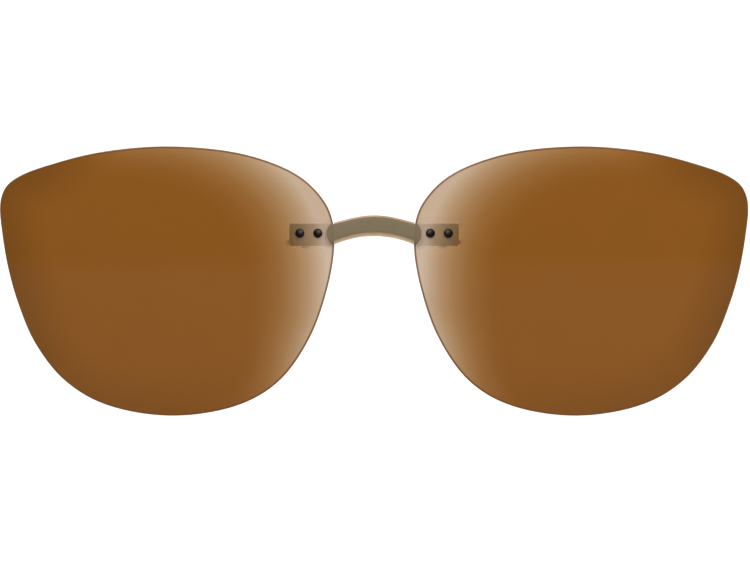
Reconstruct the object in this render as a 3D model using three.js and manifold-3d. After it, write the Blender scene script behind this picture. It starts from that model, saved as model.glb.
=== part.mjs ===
// Clip-on flip lenses: two tinted rimless lenses on an arched bridge bar. The bar turns on a hinge
// behind it, so the lenses flip up, and a clip with two fixed upper claws and two sprung lower claws
// holds the whole on a pair of spectacles.
//
// Millimetres. +X is to the right as one faces the lenses, -Y is the front, +Z is up. The origin is
// on the rear face of the clip's pad, which rests on the spectacles, level with the lens screws.
// "left" is -X and "right" is +X.

import * as THREE from 'three';
import { mergeVertices } from 'three/addons/utils/BufferGeometryUtils.js';
import Module from 'manifold-3d';

const wasm = await Module();
wasm.setup();

// ---------------------------------------------------------------- driving dimensions

// Lenses: outline points (x, z) of the right lens, in order from the top towards the temple.
const LENS_OUTLINE = [
  [35.3, 15.1], [47.4, 14.15], [56.1, 12.05], [61.4, 10.15], [63.9, 8.4], [64.95, 6.3],
  [65.18, 4.0], [64.85, 0.6], [63.8, -5.7], [62.05, -11.95], [59.0, -19.1], [53.95, -25.5],
  [46.9, -29.7], [35.0, -31.7], [23.2, -29.7], [16.35, -25.5], [11.2, -18.2], [8.17, -9.85],
  [6.9, -2.55], [7.25, 2.4], [8.8, 5.8], [13.05, 9.96], [22.1, 13.6],
];
const LENS_POINTS = 64; // around the outline
const LENS_RINGS = [0.42, 0.7, 0.88]; // the inner rings, as shares of the way to the edge
const LENS_CENTRE = { x: 36, z: -8 }; // where the rings shrink to
const LENS_RADIUS = 180; // the ball that the front surface lies on
const LENS_CREST_X = 11.3; // where the front surface faces straight forwards, between the screws
const LENS_THICKNESS = 1.5;
const LENS_CHAMFER = 0.25;
const LENS_FRONT = -8.4; // front surface at its crest
const LENS_BACK = LENS_FRONT + LENS_THICKNESS;

// Bridge bar: an arch. Heights are above the lens screws.
const BAR_HALF = 6.7; // half its length, without the caps
const BAR_FRONT = -9.2;
const BAR_BACK = LENS_BACK;
const BAR_TOP_BEVEL = { height: 0.22, depth: 0.3 };
const BAR_UNDER_BEVEL = { height: 0.62, depth: 0.9 };
const BAR_STEPS = 24;
const CAP_RADIUS = 2.4; // the round outer end of each cap
const CAP_CENTRE = { x: 5.77, z: -0.05 };
const CAP_TOP = 1.72;
const CAP_BOTTOM = -1.92;
const CAP_BACK = LENS_FRONT - 0.1;

// Tab plates behind the lenses.
const TAB = { inner: 7.1, outer: 14.7, bottom: -2.2, top: 1.67, corner: 0.47 };
const TAB_NECK = { inner: 5.2, bottom: -1.2, top: 1.4 }; // lies behind the bar's end
const GAP = 0.05; // between pieces that touch
const TAB_FRONT = LENS_BACK + 0.15; // clear of the lens's curve
const TAB_BACK = TAB_FRONT + 0.8;

// Lens screws, with a nylon bushing in the lens and a nut behind the tab.
const SCREW_X = [9.75, 12.87];
const SCREW = { head: 0.79, dome: 0.46, shank: 0.45, end: TAB_BACK + 1.0 };
const BUSHING = { outer: 0.69, inner: 0.52 };
const LENS_HOLE = 0.74;
const TAB_HOLE = 0.52;
const NUT = { flats: 1.5, hole: 0.52, front: TAB_BACK + GAP, back: TAB_BACK + 0.75 };

// Flip hinge, along X.
const HINGE = { y: -5.1, z: 1.15 };
const KNUCKLE = 1.2; // radius
const KNUCKLE_HOLE = 0.56;
const MIDDLE_KNUCKLE = 1.45; // half its length
const WASHER = { inner: 1.5, outer: 1.8, radius: 1.05 }; // inner and outer are along X
const SIDE_KNUCKLE = { inner: 1.85, outer: 3.05 };
const BRACKET = { half: 3.1, front: BAR_BACK + GAP, back: -6.45, bottom: -0.25, top: HINGE.z + 1.4 };
const HINGE_SCREW = { shank: 0.5, head: 0.8, headStart: 3.1, headEnd: 3.5 };
const WEB_HALF = 0.9; // half the height of the webs that carry the knuckles
const STOP_NOSE = { half: 1.3, front: -6.35, bottom: -0.3, top: 0.35 };

// Clip body: a front and a rear plate with a spacer between them, and a pad behind.
const PLATE_HALF = 5.6;
const FRONT_PLATE = { front: -3.65, back: -3.05 };
const REAR_PLATE = { front: -1.45, back: -0.85 };
const SPACER = { half: 2.85, front: FRONT_PLATE.back + GAP, back: REAR_PLATE.front - GAP };
const PAD = { front: REAR_PLATE.back + GAP, back: 0, half: 5.3 };
const PLATE_INSET = { top: 0.45, bottom: 0.12 }; // inside the bar's outline
const BODY_RIVET = { x: 2.2, z: 1.3, radius: 0.4, hole: 0.45 };

// Claws: round wire with a silicone sleeve on each hook.
const WIRE = 0.4; // radius
const WIRE_Y = -2.5; // the wires leave the clip body in this plane
const HOOK_Y = 5.2; // the hooks' tips stand this far behind the pad's face
const UPPER_CLAW = { x: 12, z: 1.0, tip: -2.4, root: 2.95, rootZ: 1.6 };
const LOWER_CLAW = { x: 21, z: -24, tip: -20.4 };
const SLEEVE = { outer: 0.75, inner: 0.5, start: 0.3, past: 0.5 };
const WIRE_SIDES = 8;
const WIRE_STEPS = 38;
const SLEEVE_STEPS = 14;

// Lower arm pivots, along Y, with a torsion spring behind each eye.
const PIVOT = { x: 4.0, z: 0.15 };
const EYE = { radius: 0.95, hole: 0.5, front: -2.85, back: -2.15 };
const PIVOT_SCREW = { shank: 0.42, head: 0.72, headFront: -3.98, headBack: -3.68, end: -0.9 };
const PIVOT_HOLE = 0.47;
const SPRING = { coil: 0.7, wire: 0.1, front: -1.97, back: -1.63, turns: 1.25, leg: 0.9 };

// ---------------------------------------------------------------- materials

function finish(colour, roughness, metalness) {
  return new THREE.MeshStandardMaterial({ color: colour, roughness, metalness });
}

const TINT = finish(0x8b5622, 0.12, 0);
const OLIVE = finish(0x807259, 0.6, 0.1);
const BRONZE = finish(0x8c7358, 0.4, 0.8);
const BLACK = finish(0x08080c, 0.2, 0.6);
const STEEL = finish(0xa7a29a, 0.3, 1);
const SPRING_STEEL = finish(0x7f7d7a, 0.35, 1);
const SILICONE = finish(0xd9d6cf, 0.5, 0);
const NYLON = finish(0xe8e2d4, 0.6, 0);

// ---------------------------------------------------------------- solids

/** The volume that a closed indexed geometry holds, negative if its faces point inwards. */
function volume(geometry) {
  const at = geometry.getAttribute('position');
  const index = geometry.getIndex();
  const [a, b, c] = [new THREE.Vector3(), new THREE.Vector3(), new THREE.Vector3()];
  let sum = 0;
  for (let i = 0; i < index.count; i += 3) {
    a.fromBufferAttribute(at, index.getX(i));
    b.fromBufferAttribute(at, index.getX(i + 1));
    c.fromBufferAttribute(at, index.getX(i + 2));
    sum += a.dot(b.cross(c)) / 6;
  }
  return sum;
}

/** A geometry with shared vertices and its faces pointing out. */
function closed(geometry) {
  geometry.deleteAttribute('normal');
  geometry.deleteAttribute('uv');
  const merged = mergeVertices(geometry, 1e-5);
  if (volume(merged) < 0) merged.setIndex(Array.from(merged.getIndex().array).reverse());
  return merged;
}

/** A geometry as a solid that can be joined and cut. */
function solid(geometry) {
  const merged = closed(geometry);
  const mesh = new wasm.Mesh({
    numProp: 3,
    vertProperties: new Float32Array(merged.getAttribute('position').array),
    triVerts: new Uint32Array(merged.getIndex().array),
  });
  return new wasm.Manifold(mesh);
}

/** A solid as a geometry. */
function geometryOf(body) {
  const mesh = body.getMesh();
  const geometry = new THREE.BufferGeometry();
  geometry.setAttribute('position', new THREE.BufferAttribute(new Float32Array(mesh.vertProperties), 3));
  geometry.setIndex(new THREE.BufferAttribute(new Uint32Array(mesh.triVerts), 1));
  return geometry;
}

/** One of the object's pieces. shape is a geometry or a solid. */
function piece(name, shape, material) {
  const geometry = shape instanceof THREE.BufferGeometry ? closed(shape) : geometryOf(shape);
  const mesh = new THREE.Mesh(geometry, material);
  mesh.name = name;
  return mesh;
}

/** An outline in X and Z, extruded along Y from front to back. */
function plate(shape, front, back, options = { bevelEnabled: false }) {
  const geometry = new THREE.ExtrudeGeometry(shape, { depth: back - front, curveSegments: 8, ...options });
  return geometry.rotateX(Math.PI / 2).translate(0, back, 0);
}

/** An outline in Y and Z, extruded along X. */
function bar(shape, left, right) {
  const geometry = new THREE.ExtrudeGeometry(shape, {
    depth: right - left,
    curveSegments: 8,
    bevelEnabled: false,
  });
  const turned = new THREE.Matrix4().makeBasis(
    new THREE.Vector3(0, 1, 0),
    new THREE.Vector3(0, 0, 1),
    new THREE.Vector3(1, 0, 0),
  );
  return geometry.applyMatrix4(turned).translate(left, 0, 0);
}

function circle(radius, x = 0, y = 0) {
  return new THREE.Shape().absarc(x, y, radius, 0, 2 * Math.PI);
}

function ring(outer, inner) {
  const shape = circle(outer);
  shape.holes.push(circle(inner));
  return shape;
}

function rectangle(left, right, bottom, top) {
  const corners = [[left, bottom], [right, bottom], [right, top], [left, top]];
  return new THREE.Shape(corners.map(([x, y]) => new THREE.Vector2(x, y)));
}

/** A round rod along a curve. */
function rod(path, radius, sides, steps) {
  const section = new THREE.Shape(
    Array.from({ length: sides }, (_, i) => {
      const angle = (2 * Math.PI * i) / sides;
      return new THREE.Vector2(radius * Math.cos(angle), radius * Math.sin(angle));
    }),
  );
  return new THREE.ExtrudeGeometry(section, { steps, extrudePath: path, bevelEnabled: false });
}

/** A smooth curve through points. */
function smooth(points, isClosed = false) {
  const places = points.map((p) => new THREE.Vector3(...p));
  return new THREE.CatmullRomCurve3(places, isClosed, 'centripetal');
}

// ---------------------------------------------------------------- flip front

/** How far back the lens's front surface is at a place on the right lens. */
function lensFront(x, z) {
  const across = (x - LENS_CREST_X) ** 2 + z ** 2;
  return LENS_FRONT + LENS_RADIUS - Math.sqrt(LENS_RADIUS ** 2 - across);
}

/** A lens: rings of points on its front, its edge with two chamfers, and rings on its back. */
function lens(side) {
  const outline = smooth(LENS_OUTLINE.map(([x, z]) => [x, 0, z]), true).getSpacedPoints(LENS_POINTS);
  const edge = outline.slice(0, LENS_POINTS).map((p) => ({ x: p.x, z: p.z }));
  const toCentre = (p, share) => ({
    x: LENS_CENTRE.x + (p.x - LENS_CENTRE.x) * share,
    z: LENS_CENTRE.z + (p.z - LENS_CENTRE.z) * share,
  });
  const inset = (p) => {
    const reach = Math.hypot(p.x - LENS_CENTRE.x, p.z - LENS_CENTRE.z);
    return toCentre(p, 1 - LENS_CHAMFER / reach);
  };
  const faceRings = [...LENS_RINGS.map((share) => edge.map((p) => toCentre(p, share))), edge.map(inset)];
  const layers = [
    ...faceRings.map((points) => ({ points, back: 0 })),
    { points: edge, back: LENS_CHAMFER },
    { points: edge, back: LENS_THICKNESS - LENS_CHAMFER },
    ...faceRings.reverse().map((points) => ({ points, back: LENS_THICKNESS })),
  ];
  const centre = (back) => [side * LENS_CENTRE.x, lensFront(LENS_CENTRE.x, LENS_CENTRE.z) + back, LENS_CENTRE.z];
  const positions = [...centre(0)];
  for (const { points, back } of layers) {
    for (const p of points) positions.push(side * p.x, lensFront(p.x, p.z) + back, p.z);
  }
  positions.push(...centre(LENS_THICKNESS));
  const last = positions.length / 3 - 1;
  const vertex = (layer, i) => 1 + layer * LENS_POINTS + (i % LENS_POINTS);
  const index = [];
  for (let i = 0; i < LENS_POINTS; i += 1) {
    index.push(0, vertex(0, i), vertex(0, i + 1));
    for (let layer = 0; layer + 1 < layers.length; layer += 1) {
      const [a, b] = [vertex(layer, i), vertex(layer, i + 1)];
      const [c, d] = [vertex(layer + 1, i), vertex(layer + 1, i + 1)];
      index.push(a, c, b, b, c, d);
    }
    index.push(last, vertex(layers.length - 1, i + 1), vertex(layers.length - 1, i));
  }
  const geometry = new THREE.BufferGeometry();
  geometry.setAttribute('position', new THREE.Float32BufferAttribute(positions, 3));
  geometry.setIndex(index);
  let body = solid(geometry);
  for (const x of SCREW_X) {
    body = body.subtract(solid(plate(circle(LENS_HOLE, side * x), LENS_FRONT - 1, LENS_BACK + 1)));
  }
  return body;
}

function barTop(x) {
  return 3.11 - 0.0335 * x ** 2 + 0.00016 * x ** 4;
}

function barBottom(x) {
  return -0.5 - 0.0304 * x ** 2;
}

/** An arched outline that follows the bar, inset from its top and its bottom edge. */
function arch(half, insetTop, insetBottom) {
  const xs = Array.from({ length: 13 }, (_, i) => half * (i / 6 - 1));
  const bottom = xs.map((x) => new THREE.Vector2(x, barBottom(x) + insetBottom));
  const top = xs.map((x) => new THREE.Vector2(x, barTop(x) - insetTop)).reverse();
  return new THREE.Shape([...bottom, ...top]);
}

/** The arched bar: its section, with a thin bevel on top and a wide one below, carried along X. */
function archedBar() {
  const section = (x) => [
    [BAR_BACK, barBottom(x)],
    [BAR_FRONT + BAR_UNDER_BEVEL.depth, barBottom(x)],
    [BAR_FRONT, barBottom(x) + BAR_UNDER_BEVEL.height],
    [BAR_FRONT, barTop(x) - BAR_TOP_BEVEL.height],
    [BAR_FRONT + BAR_TOP_BEVEL.depth, barTop(x)],
    [BAR_BACK, barTop(x)],
  ];
  const count = section(0).length;
  const positions = [];
  for (let i = 0; i <= BAR_STEPS; i += 1) {
    const x = BAR_HALF * ((2 * i) / BAR_STEPS - 1);
    for (const [y, z] of section(x)) positions.push(x, y, z);
  }
  const index = [];
  for (let i = 0; i < BAR_STEPS; i += 1) {
    for (let k = 0; k < count; k += 1) {
      const [a, b] = [i * count + k, i * count + ((k + 1) % count)];
      index.push(a, a + count, b, b, a + count, b + count);
    }
  }
  const end = BAR_STEPS * count;
  for (let k = 1; k + 1 < count; k += 1) {
    index.push(0, k, k + 1, end, end + k + 1, end + k);
  }
  const geometry = new THREE.BufferGeometry();
  geometry.setAttribute('position', new THREE.Float32BufferAttribute(positions, 3));
  geometry.setIndex(index);
  return solid(geometry);
}

/** A cap: the round end of the bar that laps over the front of a lens. */
function cap(side) {
  const angle = (z) => Math.asin((z - CAP_CENTRE.z) / CAP_RADIUS);
  const [low, high] = [angle(CAP_BOTTOM), angle(CAP_TOP)];
  const inner = BAR_HALF - 0.5;
  const points = [new THREE.Vector2(side * inner, 1.5), new THREE.Vector2(side * inner, -1.3)];
  const steps = 10;
  for (let i = 0; i <= steps; i += 1) {
    const turn = low + ((high - low) * i) / steps;
    const x = CAP_CENTRE.x + CAP_RADIUS * Math.cos(turn);
    points.push(new THREE.Vector2(side * x, CAP_CENTRE.z + CAP_RADIUS * Math.sin(turn)));
  }
  const soft = 0.18;
  return solid(
    plate(new THREE.Shape(points), BAR_FRONT + soft, CAP_BACK - soft, {
      bevelEnabled: true,
      bevelThickness: soft,
      bevelSize: soft,
      bevelOffset: -soft,
      bevelSegments: 2,
    }),
  );
}

function bridgeBar() {
  return archedBar().add(cap(-1)).add(cap(1));
}

/** A tab plate: a rounded plate behind a lens, with a narrower neck behind the bar's end. */
function tab(side) {
  const shape = new THREE.Shape();
  const { inner, outer, bottom, top, corner } = TAB;
  shape.moveTo(side * TAB_NECK.inner, TAB_NECK.bottom);
  shape.lineTo(side * (inner - 0.3), TAB_NECK.bottom);
  shape.lineTo(side * inner, bottom);
  shape.lineTo(side * (outer - corner), bottom);
  shape.quadraticCurveTo(side * outer, bottom, side * outer, bottom + corner);
  shape.lineTo(side * outer, top - corner);
  shape.quadraticCurveTo(side * outer, top, side * (outer - corner), top);
  shape.lineTo(side * inner, top);
  shape.lineTo(side * (inner - 0.3), TAB_NECK.top);
  shape.lineTo(side * TAB_NECK.inner, TAB_NECK.top);
  shape.closePath();
  for (const x of SCREW_X) shape.holes.push(circle(TAB_HOLE, side * x, 0));
  return plate(shape, TAB_FRONT, TAB_BACK);
}

/** A domed screw, turned about Y, with its head in front of the lens. */
function lensScrew() {
  const seat = LENS_FRONT - 0.03;
  const points = [new THREE.Vector2(0, SCREW.end), new THREE.Vector2(SCREW.shank, SCREW.end)];
  points.push(new THREE.Vector2(SCREW.shank, seat));
  const steps = 5;
  for (let i = 0; i < steps; i += 1) {
    const turn = (Math.PI / 2) * (i / steps);
    points.push(new THREE.Vector2(SCREW.head * Math.cos(turn), seat - SCREW.dome * Math.sin(turn)));
  }
  points.push(new THREE.Vector2(0, seat - SCREW.dome));
  return new THREE.LatheGeometry(points, 20);
}

function nut() {
  const corner = NUT.flats / Math.sqrt(3);
  const shape = new THREE.Shape(
    Array.from({ length: 6 }, (_, i) => {
      const angle = (Math.PI * i) / 3;
      return new THREE.Vector2(corner * Math.cos(angle), corner * Math.sin(angle));
    }),
  );
  shape.holes.push(circle(NUT.hole));
  return plate(shape, NUT.front, NUT.back);
}

/** A knuckle about the hinge's axis with its web, from left to right along X. */
function knuckle(left, right, webFront, webBack) {
  const barrel = solid(bar(circle(KNUCKLE, HINGE.y, HINGE.z), left, right));
  const web = rectangle(webFront, webBack, HINGE.z - WEB_HALF, HINGE.z + WEB_HALF);
  return barrel.add(solid(bar(web, left, right)));
}

function hingeBore() {
  return solid(bar(circle(KNUCKLE_HOLE, HINGE.y, HINGE.z), -PLATE_HALF, PLATE_HALF));
}

/** The bracket on the bar's back, with the two side knuckles. */
function hingeBracket() {
  const { half, front, back, bottom, top } = BRACKET;
  let body = solid(plate(rectangle(-half, half, bottom, top), front, back));
  for (const side of [-1, 1]) {
    const [a, b] = [side * SIDE_KNUCKLE.inner, side * SIDE_KNUCKLE.outer].sort((p, q) => p - q);
    body = body.add(knuckle(a, b, back - 0.1, HINGE.y));
  }
  return body.subtract(hingeBore());
}

/** The hinge screw, along X: a head on the right. */
function hingeScrew() {
  const { shank, head, headStart, headEnd } = HINGE_SCREW;
  const stem = solid(bar(circle(shank, HINGE.y, HINGE.z), -headEnd, headStart + 0.1));
  return stem.add(solid(bar(circle(head, HINGE.y, HINGE.z), headStart, headEnd)));
}

function hingeNut() {
  const { head, headStart, headEnd } = HINGE_SCREW;
  const shape = circle(head, HINGE.y, HINGE.z);
  shape.holes.push(circle(KNUCKLE_HOLE, HINGE.y, HINGE.z));
  return bar(shape, GAP - headEnd, -headStart);
}

function frictionWasher(side) {
  const shape = circle(WASHER.radius, HINGE.y, HINGE.z);
  shape.holes.push(circle(KNUCKLE_HOLE, HINGE.y, HINGE.z));
  const [a, b] = [side * WASHER.inner, side * WASHER.outer].sort((p, q) => p - q);
  return bar(shape, a, b);
}

// ---------------------------------------------------------------- clip body

/** Cuts holes along Y at these places, on both sides. */
function drilled(body, holes) {
  let cut = body;
  for (const { x, z, radius } of holes) {
    for (const side of [-1, 1]) {
      cut = cut.subtract(solid(plate(circle(radius, side * x, z), FRONT_PLATE.front - 1, 0)));
    }
  }
  return cut;
}

const RIVET_HOLE = { x: BODY_RIVET.x, z: BODY_RIVET.z, radius: BODY_RIVET.hole };
const SCREW_HOLE = { x: PIVOT.x, z: PIVOT.z, radius: PIVOT_HOLE };

/** The front plate, with the hinge's middle knuckle and the nose that stops the front at rest. */
function frontPlate() {
  const { front, back } = FRONT_PLATE;
  const sheet = solid(plate(arch(PLATE_HALF, PLATE_INSET.top, PLATE_INSET.bottom), front, back));
  const middle = knuckle(-MIDDLE_KNUCKLE, MIDDLE_KNUCKLE, HINGE.y, front + 0.1);
  const nose = rectangle(STOP_NOSE.front, HINGE.y + 0.5, STOP_NOSE.bottom, STOP_NOSE.top);
  const body = sheet.add(middle).add(solid(bar(nose, -STOP_NOSE.half, STOP_NOSE.half)));
  return drilled(body.subtract(hingeBore()), [RIVET_HOLE, SCREW_HOLE]);
}

function rearPlate() {
  const { front, back } = REAR_PLATE;
  const sheet = solid(plate(arch(PLATE_HALF, PLATE_INSET.top, PLATE_INSET.bottom), front, back));
  return drilled(sheet, [RIVET_HOLE, SCREW_HOLE]);
}

function spacer() {
  const outline = arch(SPACER.half, PLATE_INSET.top + 0.15, PLATE_INSET.bottom + 0.15);
  return drilled(solid(plate(outline, SPACER.front, SPACER.back)), [RIVET_HOLE]);
}

function pad() {
  const outline = arch(PAD.half, PLATE_INSET.top + 0.1, PLATE_INSET.bottom + 0.1);
  return plate(outline, PAD.front, PAD.back);
}

/** A headless rivet through the plates and the spacer. */
function bodyRivet() {
  return plate(circle(BODY_RIVET.radius), FRONT_PLATE.front, REAR_PLATE.back);
}

/** A pivot screw, along Y, with its head in front of the front plate. */
function pivotScrew() {
  const { shank, head, headFront, headBack, end } = PIVOT_SCREW;
  const stem = solid(plate(circle(shank), headBack - 0.1, end));
  return stem.add(solid(plate(circle(head), headFront, headBack)));
}

/** A torsion spring about a pivot, with one leg out along the arm and one in to the spacer. */
function torsionSpring(side) {
  const { coil, wire, front, back, turns, leg } = SPRING;
  const steps = 16;
  const points = [[side * coil, front, -leg]];
  for (let i = 0; i <= steps; i += 1) {
    const share = i / steps;
    const turn = 2 * Math.PI * turns * share;
    points.push([side * coil * Math.cos(turn), front + (back - front) * share, coil * Math.sin(turn)]);
  }
  points.push([-side * leg * 0.9, back, coil]);
  return rod(smooth(points), wire, 6, 44);
}

// ---------------------------------------------------------------- claws

/** The points of a claw's hook, from the plane of the wires back over the spectacles to the tip. */
function hook(side, claw) {
  const turn = 0.35; // the corners are rounded by two points each
  const down = Math.sign(claw.tip - claw.z);
  return [
    [side * claw.x, WIRE_Y + 1.5, claw.z],
    [side * claw.x, HOOK_Y - 3, claw.z],
    [side * claw.x, HOOK_Y - 1, claw.z],
    [side * claw.x, HOOK_Y - turn, claw.z + down * turn],
    [side * claw.x, HOOK_Y, claw.z + down],
    [side * claw.x, HOOK_Y, claw.tip],
  ];
}

/** An upper claw's wire: fixed between the plates, out behind the tab, then back over the rim. */
function upperPath(side) {
  const { x, z, root, rootZ } = UPPER_CLAW;
  return smooth([
    [side * root, WIRE_Y, rootZ],
    [side * (PLATE_HALF - 0.3), WIRE_Y, rootZ - 0.05],
    [side * (PLATE_HALF + 1.8), WIRE_Y, z + 0.1],
    [side * (x - 1.4), WIRE_Y, z],
    [side * (x - 0.35), WIRE_Y + 0.35, z],
    ...hook(side, UPPER_CLAW),
  ]);
}

/** A lower claw's wire: from its eye out behind the tab, down behind the lens, then back. */
function lowerPath(side) {
  const { x, z } = LOWER_CLAW;
  return smooth([
    [side * (PIVOT.x + 0.7), WIRE_Y, PIVOT.z - 0.25],
    [side * 7.5, WIRE_Y, -1.0],
    [side * 13.5, WIRE_Y, -1.3],
    [side * 17.5, WIRE_Y, -2.2],
    [side * 20.0, WIRE_Y, -5.0],
    [side * x, WIRE_Y, -10.0],
    [side * x, WIRE_Y, -16.0],
    [side * x, WIRE_Y, z + 1.4],
    [side * x, WIRE_Y + 0.35, z + 0.35],
    ...hook(side, LOWER_CLAW),
  ]);
}

function upperClaw(side) {
  return rod(upperPath(side), WIRE, WIRE_SIDES, WIRE_STEPS);
}

/** A lower arm: an eye that turns on the pivot screw, with the claw's wire. */
function lowerArm(side) {
  const eye = solid(plate(circle(EYE.radius, side * PIVOT.x, PIVOT.z), EYE.front, EYE.back));
  const hole = solid(plate(circle(EYE.hole, side * PIVOT.x, PIVOT.z), EYE.front - 1, EYE.back + 1));
  return eye.add(solid(rod(lowerPath(side), WIRE, WIRE_SIDES, WIRE_STEPS))).subtract(hole);
}

/** A silicone sleeve over a hook, open where the wire goes in. */
function sleeve(side, claw) {
  const points = hook(side, claw).slice(1);
  const x = side * claw.x;
  const end = claw.tip + Math.sign(claw.tip - claw.z) * SLEEVE.past;
  const outside = smooth([[x, SLEEVE.start, claw.z], ...points, [x, HOOK_Y, end]]);
  const inside = smooth([[x, SLEEVE.start - 1, claw.z], ...points, [x, HOOK_Y, (claw.tip + end) / 2]]);
  const skin = solid(rod(outside, SLEEVE.outer, WIRE_SIDES, SLEEVE_STEPS));
  return skin.subtract(solid(rod(inside, SLEEVE.inner, WIRE_SIDES, SLEEVE_STEPS)));
}

// ---------------------------------------------------------------- the object

/** A group of pieces, moved to a place. */
function group(x, y, z, ...pieces) {
  const made = new THREE.Group();
  made.position.set(x, y, z);
  made.add(...pieces);
  return made;
}

const SIDES = [['left', -1], ['right', 1]];
const SCREW_NAMES = ['inner', 'outer'];

const flipFront = new THREE.Group();
flipFront.add(
  piece('bridge_bar', bridgeBar(), OLIVE),
  piece('hinge_bracket', hingeBracket(), BRONZE),
);
for (const [name, side] of SIDES) {
  flipFront.add(piece(`${name}_lens`, lens(side), TINT));
  flipFront.add(piece(`${name}_tab_plate`, tab(side), BRONZE));
  SCREW_X.forEach((x, i) => {
    const place = `${name}_${SCREW_NAMES[i]}`;
    const bushing = plate(ring(BUSHING.outer, BUSHING.inner), LENS_FRONT + 0.04, LENS_BACK - 0.02);
    flipFront.add(
      group(
        side * x,
        0,
        0,
        piece(`${place}_lens_screw`, lensScrew(), BLACK),
        piece(`${place}_bushing`, bushing, NYLON),
        piece(`${place}_nut`, nut(), STEEL),
      ),
    );
  });
}

const clipBody = new THREE.Group();
clipBody.add(
  piece('hinge_plate', frontPlate(), BRONZE),
  piece('body_spacer', spacer(), BRONZE),
  piece('rear_plate', rearPlate(), BRONZE),
  piece('bridge_pad', pad(), SILICONE),
  piece('hinge_screw', hingeScrew(), STEEL),
  piece('hinge_nut', hingeNut(), STEEL),
);
const arms = new THREE.Group();
for (const [name, side] of SIDES) {
  clipBody.add(
    piece(`${name}_friction_washer`, frictionWasher(side), NYLON),
    piece(`${name}_upper_claw`, upperClaw(side), STEEL),
    piece(`${name}_upper_sleeve`, sleeve(side, UPPER_CLAW), SILICONE),
    group(side * BODY_RIVET.x, 0, BODY_RIVET.z, piece(`${name}_body_rivet`, bodyRivet(), STEEL)),
    group(
      side * PIVOT.x,
      0,
      PIVOT.z,
      piece(`${name}_pivot_screw`, pivotScrew(), STEEL),
      piece(`${name}_torsion_spring`, torsionSpring(side), SPRING_STEEL),
    ),
  );
  arms.add(piece(`${name}_lower_arm`, lowerArm(side), STEEL));
  arms.add(piece(`${name}_lower_sleeve`, sleeve(side, LOWER_CLAW), SILICONE));
}

const clipOnFlipLenses = new THREE.Group();
clipOnFlipLenses.add(flipFront, clipBody, arms);

export default clipOnFlipLenses;
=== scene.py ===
"""Clip-on flip lenses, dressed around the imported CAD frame.

Two brown rimless lenses hang from an arched olive bridge bar. Behind the bar are the flip hinge, a small
riveted clip body, and four wire claws with silicone sleeves. Every piece here is a finer copy of the CAD
piece it replaces, at the same place. Sizes are in millimetres and become metres when a mesh is made.
Left is -X, the front of the lenses faces -Y, and +Z is up.
"""

import logging
import math
from dataclasses import dataclass, field
from enum import Enum
from typing import Iterable, Sequence, Union

import bmesh
import bpy
import numpy as np
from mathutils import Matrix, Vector


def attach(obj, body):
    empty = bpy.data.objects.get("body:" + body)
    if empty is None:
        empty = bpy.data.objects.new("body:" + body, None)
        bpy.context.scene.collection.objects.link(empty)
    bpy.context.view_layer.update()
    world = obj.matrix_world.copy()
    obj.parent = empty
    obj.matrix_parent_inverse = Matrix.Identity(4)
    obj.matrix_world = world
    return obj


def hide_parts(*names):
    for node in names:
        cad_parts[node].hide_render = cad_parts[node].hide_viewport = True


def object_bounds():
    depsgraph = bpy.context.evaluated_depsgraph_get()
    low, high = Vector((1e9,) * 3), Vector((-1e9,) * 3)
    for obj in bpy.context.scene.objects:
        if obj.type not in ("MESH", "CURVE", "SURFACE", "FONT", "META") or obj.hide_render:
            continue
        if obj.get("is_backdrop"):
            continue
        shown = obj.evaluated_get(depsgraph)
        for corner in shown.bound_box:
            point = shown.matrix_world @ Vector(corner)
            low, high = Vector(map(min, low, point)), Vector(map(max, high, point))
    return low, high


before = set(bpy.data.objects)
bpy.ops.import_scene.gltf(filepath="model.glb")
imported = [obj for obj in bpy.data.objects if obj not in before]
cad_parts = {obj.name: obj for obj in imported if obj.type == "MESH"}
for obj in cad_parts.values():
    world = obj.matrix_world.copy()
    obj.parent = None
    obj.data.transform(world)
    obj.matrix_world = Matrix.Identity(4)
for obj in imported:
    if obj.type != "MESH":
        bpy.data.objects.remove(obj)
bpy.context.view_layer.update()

MM = 0.001

log = logging.getLogger("clip_on")
logging.basicConfig(level=logging.INFO, format="%(name)s: %(message)s")


# ---------------------------------------------------------------- shader maths

Value = Union[float, int, "Term"]


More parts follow.
